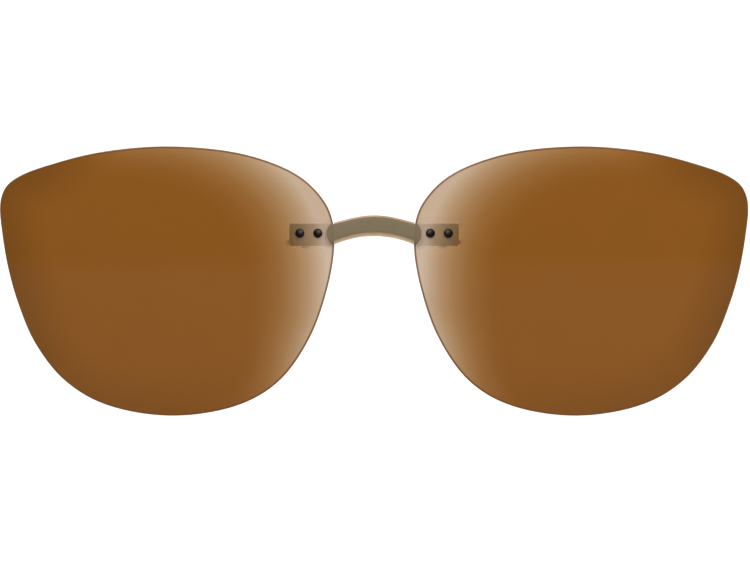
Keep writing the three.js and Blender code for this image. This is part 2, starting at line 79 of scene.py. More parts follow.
class Term:
    """A number that a material's nodes work out, written with the usual operators."""

    def __init__(self, graph: "Graph", socket: bpy.types.NodeSocket) -> None:
        """Keeps the socket and the graph it belongs to."""
        self.graph = graph
        self.socket = socket

    def _with(self, operation: str, *others: Value, swap: bool = False) -> "Term":
        """A Math node of this term and the others.

        Args:
            operation: the Math node's operation.
            others: the node's other numbers.
            swap: puts this term after the first of the others.

        Returns:
            The node's result.
        """
        values = [self, *others]
        if swap:
            values[0], values[1] = values[1], values[0]
        return self.graph.math(operation, *values)

    def __add__(self, other: Value) -> "Term":
        """self + other."""
        return self._with("ADD", other)

    __radd__ = __add__

    def __mul__(self, other: Value) -> "Term":
        """self * other."""
        return self._with("MULTIPLY", other)

    __rmul__ = __mul__

    def __sub__(self, other: Value) -> "Term":
        """self - other."""
        return self._with("SUBTRACT", other)

    def __rsub__(self, other: Value) -> "Term":
        """other - self."""
        return self._with("SUBTRACT", other, swap=True)

    def __truediv__(self, other: Value) -> "Term":
        """self / other."""
        return self._with("DIVIDE", other)

    def __pow__(self, power: Value) -> "Term":
        """self ** power."""
        return self._with("POWER", power)

    def __abs__(self) -> "Term":
        """The distance from zero."""
        return self._with("ABSOLUTE")

    def above(self, limit: Value) -> "Term":
        """1 where self is more than the limit, else 0."""
        return self._with("GREATER_THAN", limit)

    def least(self, other: Value) -> "Term":
        """The smaller of the two."""
        return self._with("MINIMUM", other)

    def most(self, other: Value) -> "Term":
        """The larger of the two."""
        return self._with("MAXIMUM", other)

    def ramp(self, start: float, end: float, smooth: bool = True) -> "Term":
        """0 up to start, 1 from end, and a smooth or straight climb between them."""
        kind = "SMOOTHSTEP" if smooth else "LINEAR"
        values = {"Value": self, "From Min": start, "From Max": end, "To Min": 0.0, "To Max": 1.0}
        node = self.graph.node("ShaderNodeMapRange", {"interpolation_type": kind}, values)
        return Term(self.graph, node.outputs["Result"])


Pair = tuple[float, float]
Triple = tuple[float, float, float]
Colour = Triple


def srgb(red: int, green: int, blue: int) -> Colour:
    """A colour as a screen shows it, from 0 to 255, made linear."""
    parts = np.array([red, green, blue]) / 255
    linear = np.where(parts <= 0.04045, parts / 12.92, ((parts + 0.055) / 1.055) ** 2.4)
    return tuple(float(part) for part in linear)


class Graph:
    """The nodes of one material."""

    def __init__(self, name: str) -> None:
        """Makes an empty material of this name."""
        self.material = bpy.data.materials.new(name)
        self.material.use_nodes = True
        self.tree = self.material.node_tree
        self.tree.nodes.clear()
        self.output = self.node("ShaderNodeOutputMaterial", {}, {})
        self._place: Union[bpy.types.NodeSocket, None] = None

    def node(self, kind: str, settings: dict, values: dict) -> bpy.types.Node:
        """Any node.

        Args:
            kind: the node's type.
            settings: its properties, or a ramp's stops under "stops", which are set first.
            values: a number, colour, term or socket for each of its inputs, by name or by index.

        Returns:
            The node.
        """
        made = self.tree.nodes.new(kind)
        for key, value in settings.items():
            if key == "stops":
                self._set_stops(made, value)
            else:
                setattr(made, key, value)
        for key, value in values.items():
            socket = made.inputs[key]
            if isinstance(value, Term):
                value = value.socket
            if isinstance(value, bpy.types.NodeSocket):
                self.tree.links.new(value, socket)
            elif isinstance(value, tuple) and len(value) == 3 and len(socket.default_value) == 4:
                socket.default_value = (*value, 1.0)
            else:
                socket.default_value = value
        return made

    @staticmethod
    def _set_stops(ramp: bpy.types.Node, stops: Sequence[tuple[float, Colour]]) -> None:
        """Gives a Color Ramp its stops, as (place, colour) pairs."""
        elements = ramp.color_ramp.elements
        while len(elements) < len(stops):
            elements.new(1.0)
        for element, (place, colour) in zip(elements, stops):
            element.position = place
            element.color = (*colour, 1.0)

    def math(self, operation: str, *values: Value) -> Term:
        """A Math node of these numbers."""
        made = self.node("ShaderNodeMath", {"operation": operation}, dict(enumerate(values)))
        return Term(self, made.outputs[0])

    @property
    def place(self) -> bpy.types.NodeSocket:
        """The point on the piece, in metres, in the frame of the whole object."""
        if self._place is None:
            self._place = self.node("ShaderNodeTexCoord", {}, {}).outputs["Object"]
        return self._place

    def axes(self) -> tuple[Term, Term, Term]:
        """The point's x, y and z in millimetres."""
        made = self.node("ShaderNodeSeparateXYZ", {}, {0: self.place})
        x, y, z = (Term(self, socket) / MM for socket in made.outputs)
        return x, y, z

    def attribute(self, name: str) -> Term:
        """A number that the mesh holds at each point."""
        return Term(self, self.node("ShaderNodeAttribute", {"attribute_name": name}, {}).outputs["Fac"])

    def noise(self, grain_mm: float, detail: float = 3.0, stretch: Triple = (1.0, 1.0, 1.0)) -> Term:
        """Soft noise whose lumps are about grain_mm wide, from 0 to 1.

        Args:
            grain_mm: the width of a lump.
            detail: how many finer layers it has.
            stretch: how much longer the lumps are along each axis.

        Returns:
            The noise.
        """
        scale = tuple(1 / (grain_mm * MM * part) for part in stretch)
        place = self.node("ShaderNodeMapping", {}, {"Vector": self.place, "Scale": scale}).outputs[0]
        values = {"Vector": place, "Scale": 1.0, "Detail": detail, "Roughness": 0.55}
        return Term(self, self.node("ShaderNodeTexNoise", {}, values).outputs[0])

    def specks(self, grain_mm: float) -> Term:
        """How far a point is from the middle of the nearest of many scattered cells, 0 to about 1."""
        scale = 1 / (grain_mm * MM)
        values = {"Vector": self.place, "Scale": scale}
        return Term(self, self.node("ShaderNodeTexVoronoi", {}, values).outputs["Distance"])

    def mix(self, share: Value, first: object, second: object) -> bpy.types.NodeSocket:
        """The first colour where share is 0 and the second where it is 1."""
        values = {0: share, 6: first, 7: second}
        made = self.node("ShaderNodeMix", {"data_type": "RGBA", "clamp_factor": True}, values)
        return made.outputs[2]

    def vector(self, operation: str, *values: object) -> bpy.types.NodeSocket:
        """A Vector Math node of these colours or vectors, with a last number as its scale."""
        named = dict(enumerate(values))
        if operation == "SCALE":
            named = {0: values[0], "Scale": values[1]}
        made = self.node("ShaderNodeVectorMath", {"operation": operation}, named)
        return made.outputs[0]

    def bump(self, height: Term, depth_mm: float, strength: float = 1.0) -> bpy.types.NodeSocket:
        """A normal that rises and falls by depth_mm as the height goes from 0 to 1."""
        values = {"Height": height, "Distance": depth_mm * MM, "Strength": strength}
        return self.node("ShaderNodeBump", {}, values).outputs["Normal"]

    def surface(self, values: dict) -> bpy.types.NodeSocket:
        """A Principled shader with these values."""
        return self.node("ShaderNodeBsdfPrincipled", {}, values).outputs[0]

    def blend_shaders(
        self, share: Term, first: bpy.types.NodeSocket, second: bpy.types.NodeSocket
    ) -> bpy.types.NodeSocket:
        """The first shader where share is 0 and the second where it is 1."""
        return self.node("ShaderNodeMixShader", {}, {0: share, 1: first, 2: second}).outputs[0]

    def finish(self, shader: bpy.types.NodeSocket) -> bpy.types.Material:
        """Shows the shader, and returns the material."""
        self.tree.links.new(shader, self.output.inputs["Surface"])
        return self.material

    def coated(self, values: dict) -> bpy.types.Material:
        """Shows one Principled shader with these values, and returns the material."""
        return self.finish(self.surface(values))


# ---------------------------------------------------------------- finishes


@dataclass(frozen=True)
class Metal:
    """A metal: its colour, how rough it is, and the fine marks that its making left on it.

    Attributes:
        name: the material's name.
        colour: the polished metal's colour.
        worn: its colour in dull patches.
        roughness: how rough the polished parts are.
        grain_mm: the width of its marks.
        stretch: how much longer the marks are along each axis.
        depth_mm: how deep the marks are.
        metallic: how much of it is bare metal, where lacquer dulls the rest.
    """

    name: str
    colour: Colour
    worn: Colour
    roughness: float
    grain_mm: float = 0.08
    stretch: Triple = (1.0, 1.0, 1.0)
    depth_mm: float = 0.004
    metallic: float = 1.0

    def material(self) -> bpy.types.Material:
        """Marks along the piece in the bump and the roughness, and dull cloudy patches in the colour."""
        graph = Graph(self.name)
        marks = graph.noise(self.grain_mm, 4.0, self.stretch)
        cloud = graph.noise(1.7, 5.0).ramp(0.38, 0.66)
        pits = 1 - graph.specks(0.11).ramp(0.05, 0.22)
        dull = (cloud * 0.55 + pits * 0.25).least(1.0)
        rough = marks * 0.16 + dull * 0.14 + (self.roughness - 0.08)
        height = marks * 0.8 - pits * 0.5
        return graph.coated({
            "Base Color": graph.mix(dull, self.colour, self.worn),
            "Metallic": self.metallic,
            "Roughness": rough.most(0.06).least(0.9),
            "Normal": graph.bump(height, self.depth_mm, 0.6),
        })


@dataclass(frozen=True)
class Tint:
    """The lens: brown all over, and paler towards the nose, where a clearer tint carries a painted
    highlight, with a darker border of painted shade at the temple side and along the lower temple edge.

    The pale part is outside an oval round the lens's middle, so it follows the nose side and runs out
    along the top. The tab behind the lens shows through it.

    Attributes:
        name: the material's name.
        oval_x, oval_z: the oval's middle.
        half_width, half_above, half_below: how far the oval reaches to a side, up and down.
        power: how square the oval is.
        start, end: the distances, in ovals, at which the pale part starts and is complete.
        fade: where, in x, the pale part along the top runs out.
        above_tab: where, in z, the pale part is dimmed, and by how much.
        low: how far down, in z, the pale part is stronger, and by how much.
        body: the brown colour, from 0 to 255.
        pale: the pale colour, from 0 to 255, of the clearer tint with the painted highlight.
        border: what the brown is multiplied by at the temple and lower border, as painted shade.
        temple: where, in x, the temple border starts and is complete.
        below: how far down the lower border starts and is complete.
        below_x: where, in x, it starts and is complete.
        border_width: how far in from the edge the border reaches, from where it is complete.
        edge_line: the colour of the thin line round the edge, a painted dark line of shade.
        edge_width: how far in that line is complete, and how far in it ends.
        edge_mix: how much of the colour beside it shows in that line.
        light, pale_light: the colour of the light that passes where the lens is brown, and pale.
        neutral: how pale the lens is where the first starts to give way, and where it has.
        passes: the least and the most light that one face lets through.
        most_at: how pale the lens is where the most light passes.
        solid_edge: how far in from the edge light starts to pass, and passes fully.
        backdrop: how bright the light behind the lens is.
        tab_inner, tab_outer: where, in x, more light passes at the tab, and where that ends.
        tab_share: the share of it at the tab's inner end.
        tab_bottom, tab_top: the same, in z.
    """

    name: str = "lens_tint"
    oval_x: float = 45.0
    oval_z: float = -9.0
    half_width: float = 31.0
    half_above: float = 24.7
    half_below: float = 45.0
    power: float = 2.3
    start: float = 0.72
    end: float = 1.19
    fade: Pair = (40.0, 54.0)
    above_tab: Triple = (-3.0, 6.0, 0.11)
    low: Triple = (12.0, 22.0, 0.35)
    body: Colour = (142.0, 87.0, 26.0)
    pale: Colour = (212.0, 189.0, 166.0)
    border: Colour = (0.74, 0.76, 0.8)
    temple: Pair = (44.0, 60.0)
    below: Triple = (8.0, 27.0, 0.7)
    below_x: Pair = (16.0, 36.0)
    border_width: Pair = (-1.0, 9.0)
    edge_line: Colour = srgb(122, 76, 28)
    edge_width: Pair = (0.28, 0.42)
    edge_mix: float = 0.15
    light: Colour = (1.0, 0.72, 0.45)
    pale_light: Colour = (1.0, 0.88, 0.78)
    neutral: Pair = (0.3, 0.95)
    passes: Pair = (0.06, 0.42)
    most_at: float = 0.4
    solid_edge: Pair = (0.3, 0.5)
    backdrop: float = 1.16
    tab_inner: Pair = (7.5, 11.0)
    tab_outer: Pair = (14.72, 15.6)
    tab_share: float = 0.6
    tab_bottom: Pair = (-2.95, -2.25)
    tab_top: Pair = (1.7, 3.4)

    def paleness(self, x: Term, z: Term) -> Term:
        """The share of pale tint and painted highlight, 0 in the brown middle to 1 at the nose:
        ((e - start) / (end - start)) squared, where e is the place's distance from the middle of an oval,
        |dx / a| ** n + |dz / b| ** n to the power 1 / n.
        """
        above = z.above(self.oval_z)
        half_height = above * (self.half_above - self.half_below) + self.half_below
        across = (abs(x - self.oval_x) / self.half_width) ** self.power
        up = (abs(z - self.oval_z) / half_height) ** self.power
        out = (across + up) ** (1 / self.power)
        share = out.ramp(self.start, self.end, smooth=False) ** 2
        *heights, dimmed = self.above_tab
        *depths, gain = self.low
        share = share * (1 - x.ramp(*self.fade)) * (1 - z.ramp(*heights) * dimmed)
        return share * (1 + (0 - z).ramp(*depths) * gain)

    def ramp_stops(self) -> list[tuple[float, Colour]]:
        """Stops from the brown to the pale colour of the painted highlight, mixed as a screen mixes them.
        """
        low, high = np.array(self.body), np.array(self.pale)
        shares = np.linspace(0, 1, 6)
        return [(float(s), srgb(*(low + (high - low) * s))) for s in shares]

    def without_light(
        self, graph: Graph, seen: bpy.types.NodeSocket, light: bpy.types.NodeSocket, through: Term
    ) -> bpy.types.NodeSocket:
        """The coat's own colour, where the colour seen is known: light L that passes both faces of the
        lens is taken off, and the rest is shared out over the faces,
        (seen - t^2 L^2) / (1 - t + t^2 (1 - t) L^2), where t is the share that a face lets through.

        Args:
            graph: the material's nodes.
            seen: the colour that is seen in front of white.
            light: the colour of the light that passes one face.
            through: the share that one face lets through.

        Returns:
            The colour.
        """
        both = through * through * self.backdrop
        light = graph.vector("MULTIPLY", light, light)
        left = graph.vector("SUBTRACT", seen, graph.vector("SCALE", light, both))
        solid = 1 - through
        face = graph.node("ShaderNodeCombineXYZ", {}, {0: solid, 1: solid, 2: solid}).outputs[0]
        share = graph.vector("ADD", face, graph.vector("SCALE", light, both * solid))
        return graph.vector("DIVIDE", left, share)

    def share_through(self, x: Term, z: Term, pale: Term, inset: Term) -> Term:
        """The share of light that one face lets through: most where the lens is pale, beside the tab."""
        least, most = self.passes
        beside = (1 - x.ramp(*self.tab_outer)) * z.ramp(*self.tab_bottom) * (1 - z.ramp(*self.tab_top))
        clearer = x.ramp(*self.tab_inner) * (1 - self.tab_share) + self.tab_share
        share = pale.ramp(0.0, self.most_at) * beside * clearer * (most - least) + least
        return share * inset.ramp(*self.solid_edge)

    def material(self) -> bpy.types.Material:
        """Brown with the pale tint and its painted highlight, and the border of painted shade, under a
        glossy hard coat with faint wipe marks.
        """
        graph = Graph(self.name)
        x, _, z = graph.axes()
        x = abs(x)
        inset = graph.attribute(EDGE_DISTANCE) / MM
        # paler at the nose: a clearer tint with a painted highlight on it
        pale = self.paleness(x, z)
        stops = {"stops": self.ramp_stops()}
        brown = graph.node("ShaderNodeValToRGB", stops, {0: pale}).outputs[0]
        # painted shade: darker at the temple edge and low down on the temple side
        *depths, strength = self.below
        below = (0 - z).ramp(*depths) * x.ramp(*self.below_x) * strength
        shade = (1 - inset.ramp(*self.border_width)) * x.ramp(*self.temple).most(below)
        brown = graph.mix(shade, brown, graph.vector("MULTIPLY", brown, self.border))
        clouds = graph.noise(9.0, 4.0)
        brown = graph.vector("SCALE", brown, clouds * 0.05 + 0.975)
        # painted shade: a thin darker line round the polished edge
        line = graph.mix(self.edge_mix, self.edge_line, brown)
        brown = graph.mix(1 - inset.ramp(*self.edge_width), brown, line)
        through = self.share_through(x, z, pale, inset)
        neutral = pale.ramp(*self.neutral)
        light = graph.mix(neutral, self.light, self.pale_light)
        brown = self.without_light(graph, brown, light, through)
        wipes = graph.noise(0.5, 5.0, (9.0, 1.0, 0.7)).ramp(0.5, 0.8)
        glaze = graph.surface({
            "Base Color": brown,
            "Roughness": wipes * 0.05 + clouds * 0.03 + 0.05,
            "IOR": 1.5,
            "Specular IOR Level": 0.2,
            "Normal": graph.bump(wipes, 0.0006, 0.25),
        })
        brown_glass, pale_glass = (
            graph.node("ShaderNodeBsdfTransparent", {}, {"Color": colour}).outputs[0]
            for colour in (self.light, self.pale_light)
        )
        clear = graph.blend_shaders(neutral, brown_glass, pale_glass)
        return graph.finish(graph.blend_shaders(through, glaze, clear))


@dataclass(frozen=True)
class Enamel:
    """Matt olive enamel with fine lighter and darker specks.

    Attributes:
        name: the material's name.
        colour: its main colour.
        speck: the colour of the lighter specks.
        shadow: the colour of the darker ones.
    """

    name: str
    colour: Colour
    speck: Colour
    shadow: Colour

    def material(self) -> bpy.types.Material:
        """Specks of two sizes in the colour, and a fine orange-peel bump."""
        graph = Graph(self.name)
        fine = graph.noise(0.09, 2.0)
        coarse = graph.noise(0.28, 3.0)
        light = fine.ramp(0.52, 0.74) * 0.6
        dark = (1 - coarse.ramp(0.3, 0.52)) * 0.55
        colour = graph.mix(light, self.colour, self.speck)
        colour = graph.mix(dark, colour, self.shadow)
        scuffs = graph.noise(0.6, 5.0, (3.0, 1.0, 1.0)).ramp(0.62, 0.8)
        return graph.coated({
            "Base Color": colour,
            "Metallic": 0.0,
            "Roughness": coarse * 0.2 + 0.5 - scuffs * 0.15,
            "Specular IOR Level": 0.25,
            "Normal": graph.bump(fine + coarse * 0.5, 0.008, 0.5),
        })


@dataclass(frozen=True)
class TabShade:
    """The tab plates' satin plating, with a painted highlight at the nose end that fades to painted shade
    at the outer end.

    Attributes:
        name: the material's name.
        nose: its colour at the nose end, with the painted highlight.
        outer: its colour at the outer end, nearly black with painted shade.
        span: where, in x, those ends are.
    """

    name: str = "tab_plating"
    nose: Colour = (1.0, 0.7, 0.44)
    outer: Colour = (0.14, 0.07, 0.06)
    span: Pair = (7.5, 14.5)

    def material(self) -> bpy.types.Material:
        """Painted highlight at the nose end, fading to painted shade at the outer end, with brush marks
        along the plate.
        """
        graph = Graph(self.name)
        x, _, _ = graph.axes()
        along = abs(x).ramp(*self.span)
        marks = graph.noise(0.07, 4.0, (14.0, 1.0, 1.0))
        cloud = graph.noise(1.2, 4.0)
        # painted light: bright at the nose end, near black at the outer end
        colour = graph.mix(along, self.nose, self.outer)
        colour = graph.vector("SCALE", colour, marks * 0.2 + cloud * 0.2 + 0.8)
        return graph.coated({
            "Base Color": colour,
            "Metallic": 0.55,
            "Roughness": marks * 0.2 + 0.3,
            "Normal": graph.bump(marks, 0.003, 0.5),
        })


@dataclass(frozen=True)
class Blacking:
    """Black plating on the domed screws, with a painted grey highlight where the attribute is more than
    0.

    Attributes:
        name: the material's name.
        black: the plating's colour.
        dust: the colour of the dust on it.
        grey: the colour of the painted highlight.
    """

    name: str = "black_plating"
    black: Colour = srgb(5, 5, 9)
    dust: Colour = srgb(46, 40, 36)
    grey: Colour = srgb(90, 81, 73)

    def material(self) -> bpy.types.Material:
        """Near black, with dust in the colour and the roughness, and the painted highlight on the crown.
        """
        graph = Graph(self.name)
        dust = graph.noise(0.05, 3.0).ramp(0.6, 0.78)
        cloud = graph.noise(0.5, 3.0)
        # painted highlight: a soft grey spot on each head's crown
        rubbed = graph.attribute(PAINTED_HIGHLIGHT) * (cloud * 0.5 + 0.75)
        black = graph.mix(dust * 0.3, self.black, self.dust)
        return graph.coated({
            "Base Color": graph.mix(rubbed, black, self.grey),
            "Metallic": 0.0,
            "Roughness": cloud * 0.12 + dust * 0.15 + 0.22,
            "Specular IOR Level": 0.1,
            "Normal": graph.bump(cloud, 0.004, 0.3),
        })


@dataclass(frozen=True)
class Moulding:
    """A moulded soft or hard plastic.

    Attributes:
        name: the material's name.
        colour: its main colour.
        deep: its colour where it is thick or dirty.
        roughness: how rough it is.
        clear: how much light it lets through, from 0 to 1.
    """

    name: str
    colour: Colour
    deep: Colour
    roughness: float
    clear: float = 0.0

    def material(self) -> bpy.types.Material:
        """Cloudy colour, a fine moulded grain, and dust in the roughness."""
        graph = Graph(self.name)
        cloud = graph.noise(0.9, 4.0)
        grain = graph.noise(0.06, 3.0)
        dust = graph.noise(0.2, 4.0).ramp(0.55, 0.75)
        values = {
            "Base Color": graph.mix(cloud.ramp(0.35, 0.7) * 0.7, self.colour, self.deep),
            "Roughness": grain * 0.14 + dust * 0.16 + (self.roughness - 0.1),
            "Normal": graph.bump(grain + dust * 0.4, 0.006, 0.45),
            "IOR": 1.42,
        }
        if self.clear:
            values["Transmission Weight"] = self.clear
            values["Subsurface Weight"] = 0.2
            values["Subsurface Radius"] = (0.001, 0.0008, 0.0006)
        return graph.coated(values)


EDGE_DISTANCE = "edge_distance"
# the point attribute that holds the painted highlight on the screw heads
PAINTED_HIGHLIGHT = "rubbed"


def bevel(name: str, colour: Colour, worn: Colour) -> Metal:
    """A polished bevel of the bar, under lacquer, with brush marks along the bar."""
    return Metal(name, colour, worn, 0.42, 0.06, (10.0, 1.0, 1.0), 0.002, 0.25)


class Finish(Enum):
    """The finishes that pieces are given."""

    LENS = Tint()
    OLIVE = Enamel("olive_enamel", srgb(130, 115, 89), srgb(150, 135, 107), srgb(112, 98, 73))
    CAP = Enamel("cap_enamel", srgb(125, 110, 86), srgb(144, 128, 103), srgb(109, 95, 73))
    # The three bevel finishes are copies of one lacquered metal in different colours: the top strip is
    # painted darker as painted shade, and the lowest strip paler as painted light.
    BEVEL = bevel("polished_bevel", srgb(194, 165, 132), srgb(180, 152, 119))
    TOP_BEVEL = bevel("top_bevel", srgb(172, 144, 115), srgb(158, 131, 102))
    UNDER_BEVEL = bevel("under_bevel", srgb(213, 180, 138), srgb(201, 167, 124))
    BRONZE = Metal(
        "bronze_plating", srgb(168, 142, 114), srgb(128, 104, 78), 0.32, 0.07, (6.0, 1.0, 1.0)
    )
    TAB = TabShade()
    BLACK = Blacking()
    STEEL = Metal(
        "drawn_steel", srgb(206, 203, 198), srgb(168, 163, 155), 0.24, 0.05, (1.0, 1.0, 5.0), 0.002
    )
    TURNED = Metal(
        "turned_steel", srgb(190, 187, 182), srgb(140, 136, 130), 0.26, 0.05, (1.0, 4.0, 1.0), 0.003
    )
    SPRING = Metal("spring_wire", srgb(140, 138, 134), srgb(96, 88, 78), 0.3, 0.05)
    SILICONE = Moulding("clear_silicone", srgb(236, 234, 228), srgb(224, 218, 204), 0.36, 0.55)
    PAD = Moulding("pad_silicone", srgb(226, 223, 215), srgb(204, 198, 184), 0.5, 0.3)
    NYLON = Moulding("natural_nylon", srgb(236, 230, 214), srgb(222, 212, 190), 0.45)


_made_materials: dict[Finish, bpy.types.Material] = {}


def material_of(finish: Finish) -> bpy.types.Material:
    """The finish's material, made once."""
    if finish not in _made_materials:
        _made_materials[finish] = finish.value.material()
    return _made_materials[finish]


# ---------------------------------------------------------------- curves and surfaces


def spline(points: np.ndarray, is_closed: bool, per_span: int = 24) -> np.ndarray:
    """A centripetal Catmull-Rom curve through points: on each span the cubic whose end slopes are
    m = (b - a) / t1 - (c - a) / (t1 + t2) + (c - b) / t2, where t is the square root of a distance.

    Args:
        points: rows of two or three numbers.
        is_closed: joins the last point to the first.
        per_span: how many steps a span has.

    Returns:
        The curve's points.
    """
    points = np.asarray(points, float)
    if is_closed:
        padded = np.concatenate([points[-1:], points, points[:2]])
    else:
        padded = np.concatenate([2 * points[:1] - points[1:2], points, 2 * points[-1:] - points[-2:-1]])
    p0, p1, p2, p3 = (padded[i : len(padded) - 3 + i, None] for i in range(4))
    steps = ((p0, p1), (p1, p2), (p2, p3))
    gap = [np.sqrt(np.linalg.norm(b - a, axis=-1, keepdims=True)) for a, b in steps]
    m1 = ((p1 - p0) / gap[0] - (p2 - p0) / (gap[0] + gap[1]) + (p2 - p1) / gap[1]) * gap[1]
    m2 = ((p2 - p1) / gap[1] - (p3 - p1) / (gap[1] + gap[2]) + (p3 - p2) / gap[2]) * gap[1]
    t = np.linspace(0, 1, per_span, endpoint=False)[None, :, None]
    curve = (2 * p1 - 2 * p2 + m1 + m2) * t**3 + (3 * p2 - 3 * p1 - 2 * m1 - m2) * t**2 + m1 * t + p1
    curve = curve.reshape(-1, points.shape[1])
    return curve if is_closed else np.concatenate([curve, points[-1:]])


def distances_along(line: np.ndarray) -> np.ndarray:
    """How far along a line each of its points is."""
    return np.concatenate([[0], np.cumsum(np.linalg.norm(np.diff(line, axis=0), axis=1))])


def evenly(curve: np.ndarray, count: int, is_closed: bool) -> np.ndarray:
    """count points at even distances along a curve."""
    if is_closed:
        curve = np.concatenate([curve, curve[:1]])
    along = distances_along(curve)
    at = np.linspace(0, along[-1], count, endpoint=not is_closed)
    return np.stack([np.interp(at, along, part) for part in curve.T], axis=1)


def length_of(line: np.ndarray) -> float:
    """The length of a line through points."""
    return float(np.linalg.norm(np.diff(line, axis=0), axis=1).sum())


def quarter(start: float, end: float, steps: int = 5) -> np.ndarray:
    """Angles from start to end, in quarter turns, as radians."""
    return np.linspace(start, end, steps) * math.pi / 2


def new_object(name: str, data: bpy.types.ID) -> bpy.types.Object:
    """An object in the scene that shows this mesh, light or camera."""
    made = bpy.data.objects.new(name, data)
    bpy.context.scene.collection.objects.link(made)
    return made


def new_mesh(name: str, points: np.ndarray, faces: Iterable[Sequence[int]]) -> bpy.types.Object:
    """A mesh object from points in millimetres."""
    mesh = bpy.data.meshes.new(name)
    mesh.from_pydata((np.asarray(points) * MM).tolist(), [], [list(face) for face in faces])
    return new_object(name, mesh)


def ring_faces(rows: int, columns: int, loop_rows: bool) -> np.ndarray:
    """The faces of a grid whose columns close on themselves, and its rows too if loop_rows."""
    row = np.arange(rows if loop_rows else rows - 1)[:, None] * columns
    column = np.arange(columns)[None, :]
    after = (column + 1) % columns
    next_row = (row + columns) % (rows * columns)
    corners = [row + column, row + after, next_row + after, next_row + column]
    return np.stack(corners, axis=-1).reshape(-1, 4)


def shell(name: str, grid: np.ndarray, loop_rows: bool = False) -> bpy.types.Object:
    """A closed surface from a grid of points whose columns go round.

    Args:
        name: the object's name.
        grid: rows by columns by three.
        loop_rows: joins the last row to the first, as on a ring. Otherwise a fan closes each end.

    Returns:
        The object, with its faces pointing outwards.
    """
    rows, columns, _ = grid.shape
    points = grid.reshape(-1, 3)
    faces = ring_faces(rows, columns, loop_rows).tolist()
    if not loop_rows:
        ends = np.stack([grid[0].mean(0), grid[-1].mean(0)])
        points = np.concatenate([points, ends])
        start, finish = rows * columns, rows * columns + 1
        last = (rows - 1) * columns
        faces += [(start, (i + 1) % columns, i) for i in range(columns)]
        faces += [(finish, last + i, last + (i + 1) % columns) for i in range(columns)]
    made = new_mesh(name, points, faces)
    outwards(made)
    return made


def outwards(made: bpy.types.Object, merge_mm: float = 0.0005) -> None:
    """Merges a mesh's doubles and turns its faces outwards."""
    work = bmesh.new()
    work.from_mesh(made.data)
    bmesh.ops.remove_doubles(work, verts=work.verts, dist=merge_mm * MM)
    bmesh.ops.recalc_face_normals(work, faces=work.faces)
    work.to_mesh(made.data)
    work.free()


def frames_along(path: np.ndarray) -> tuple[np.ndarray, np.ndarray, np.ndarray]:
    """A path's tangents with two crosswise directions that turn as little as they can.

    Args:
        path: the path's points.

    Returns:
        Tangents, first and second crosswise directions, one row for each point.
    """
    tangent = np.gradient(path, axis=0)
    tangent /= np.linalg.norm(tangent, axis=1, keepdims=True)
    first = np.empty_like(path)
    helper = np.eye(3)[np.argmin(np.abs(tangent[0]))]
    for i, along in enumerate(tangent):
        helper = helper - along * helper.dot(along)
        helper = helper / np.linalg.norm(helper)
        first[i] = helper
    return tangent, first, np.cross(tangent, first)


def turned(
    name: str, path: np.ndarray, profile: np.ndarray, columns: int = 32, ring: bool = False
) -> bpy.types.Object:
    """A round piece carried along a path: point = path(s) + r * (cos a * u + sin a * v), where s and r
    come from the profile, a goes round, and u and v are crosswise to the path.

    Args:
        name: the object's name.
        path: at least two points, in millimetres.
        profile: rows of (distance along the path, radius).
        columns: how many points go round.
        ring: the profile closes on itself, so the piece has a hole.

    Returns:
        The object.
    """
    path = np.asarray(path, float)
    along = distances_along(path)
    tangent, first, second = frames_along(path)
    profile = np.asarray(profile, float)
    station, radius = profile[:, 0], profile[:, 1]

    def at(values: np.ndarray) -> np.ndarray:
        """values between the path's points."""
        return np.stack([np.interp(station, along, part) for part in values.T], axis=1)

    past = station - np.clip(station, 0, along[-1])
    centre = at(path) + at(tangent) * past[:, None]
    angle = np.linspace(0, 2 * math.pi, columns, endpoint=False)[None, :, None]
    round_it = np.cos(angle) * at(first)[:, None] + np.sin(angle) * at(second)[:, None]
    return shell(name, centre[:, None] + radius[:, None, None] * round_it, loop_rows=ring)


def rod_profile(length: float, radius: float, end_round: float) -> np.ndarray:
    """The profile of a rod with rounded ends: quarter circles of end_round at both ends."""
    turn = quarter(0, 1)
    start = np.stack([end_round * (1 - np.cos(turn)), radius - end_round * (1 - np.sin(turn))], axis=1)
    finish = np.stack([length - start[::-1, 0], start[::-1, 1]], axis=1)
    middle = np.linspace(end_round, length - end_round, max(2, int(length / 0.35)))[1:-1]
    body = np.stack([middle, np.full_like(middle, radius)], axis=1)
    return np.concatenate([start, body, finish])


def ring_profile(start: float, end: float, outer: float, inner: float, edge: float) -> np.ndarray:
    """The closed profile of a ring: a rectangle from inner to outer, with rounded corners."""
    turn = quarter(0, 1, 4)
    corner = np.stack([np.cos(turn), np.sin(turn)], axis=1) * edge
    parts = []
    for quarter_index, (s, r) in enumerate(((end, outer), (start, outer), (start, inner), (end, inner))):
        angle = quarter_index * math.pi / 2
        spin = np.array([[math.cos(angle), math.sin(angle)], [-math.sin(angle), math.cos(angle)]])
        inwards = np.array([-1 if s == end else 1, -1 if r == outer else 1]) * edge
        parts.append(np.array([s, r]) + inwards + corner @ spin)
    return np.concatenate(parts)


def wire_along(
    name: str, line: np.ndarray, radius: float, end_round: float, columns: int
) -> bpy.types.Object:
    """A round wire along a line, with rounded ends."""
    return turned(name, line, rod_profile(length_of(line), radius, end_round), columns)


def drill(start: Triple, end: Triple, radius: float, columns: int = 32) -> bpy.types.Object:
    """A plain round bar from start to end, to cut a hole with."""
    line = np.array([start, end], float)
    return turned("drill", line, np.array([(0, radius), (length_of(line), radius)]), columns)


def across(x: float, z: float, start: float, end: float) -> list[Triple]:
    """A line straight back along Y, from start to end."""
    return [(x, start, z), (x, end, z)]


Loop = np.ndarray


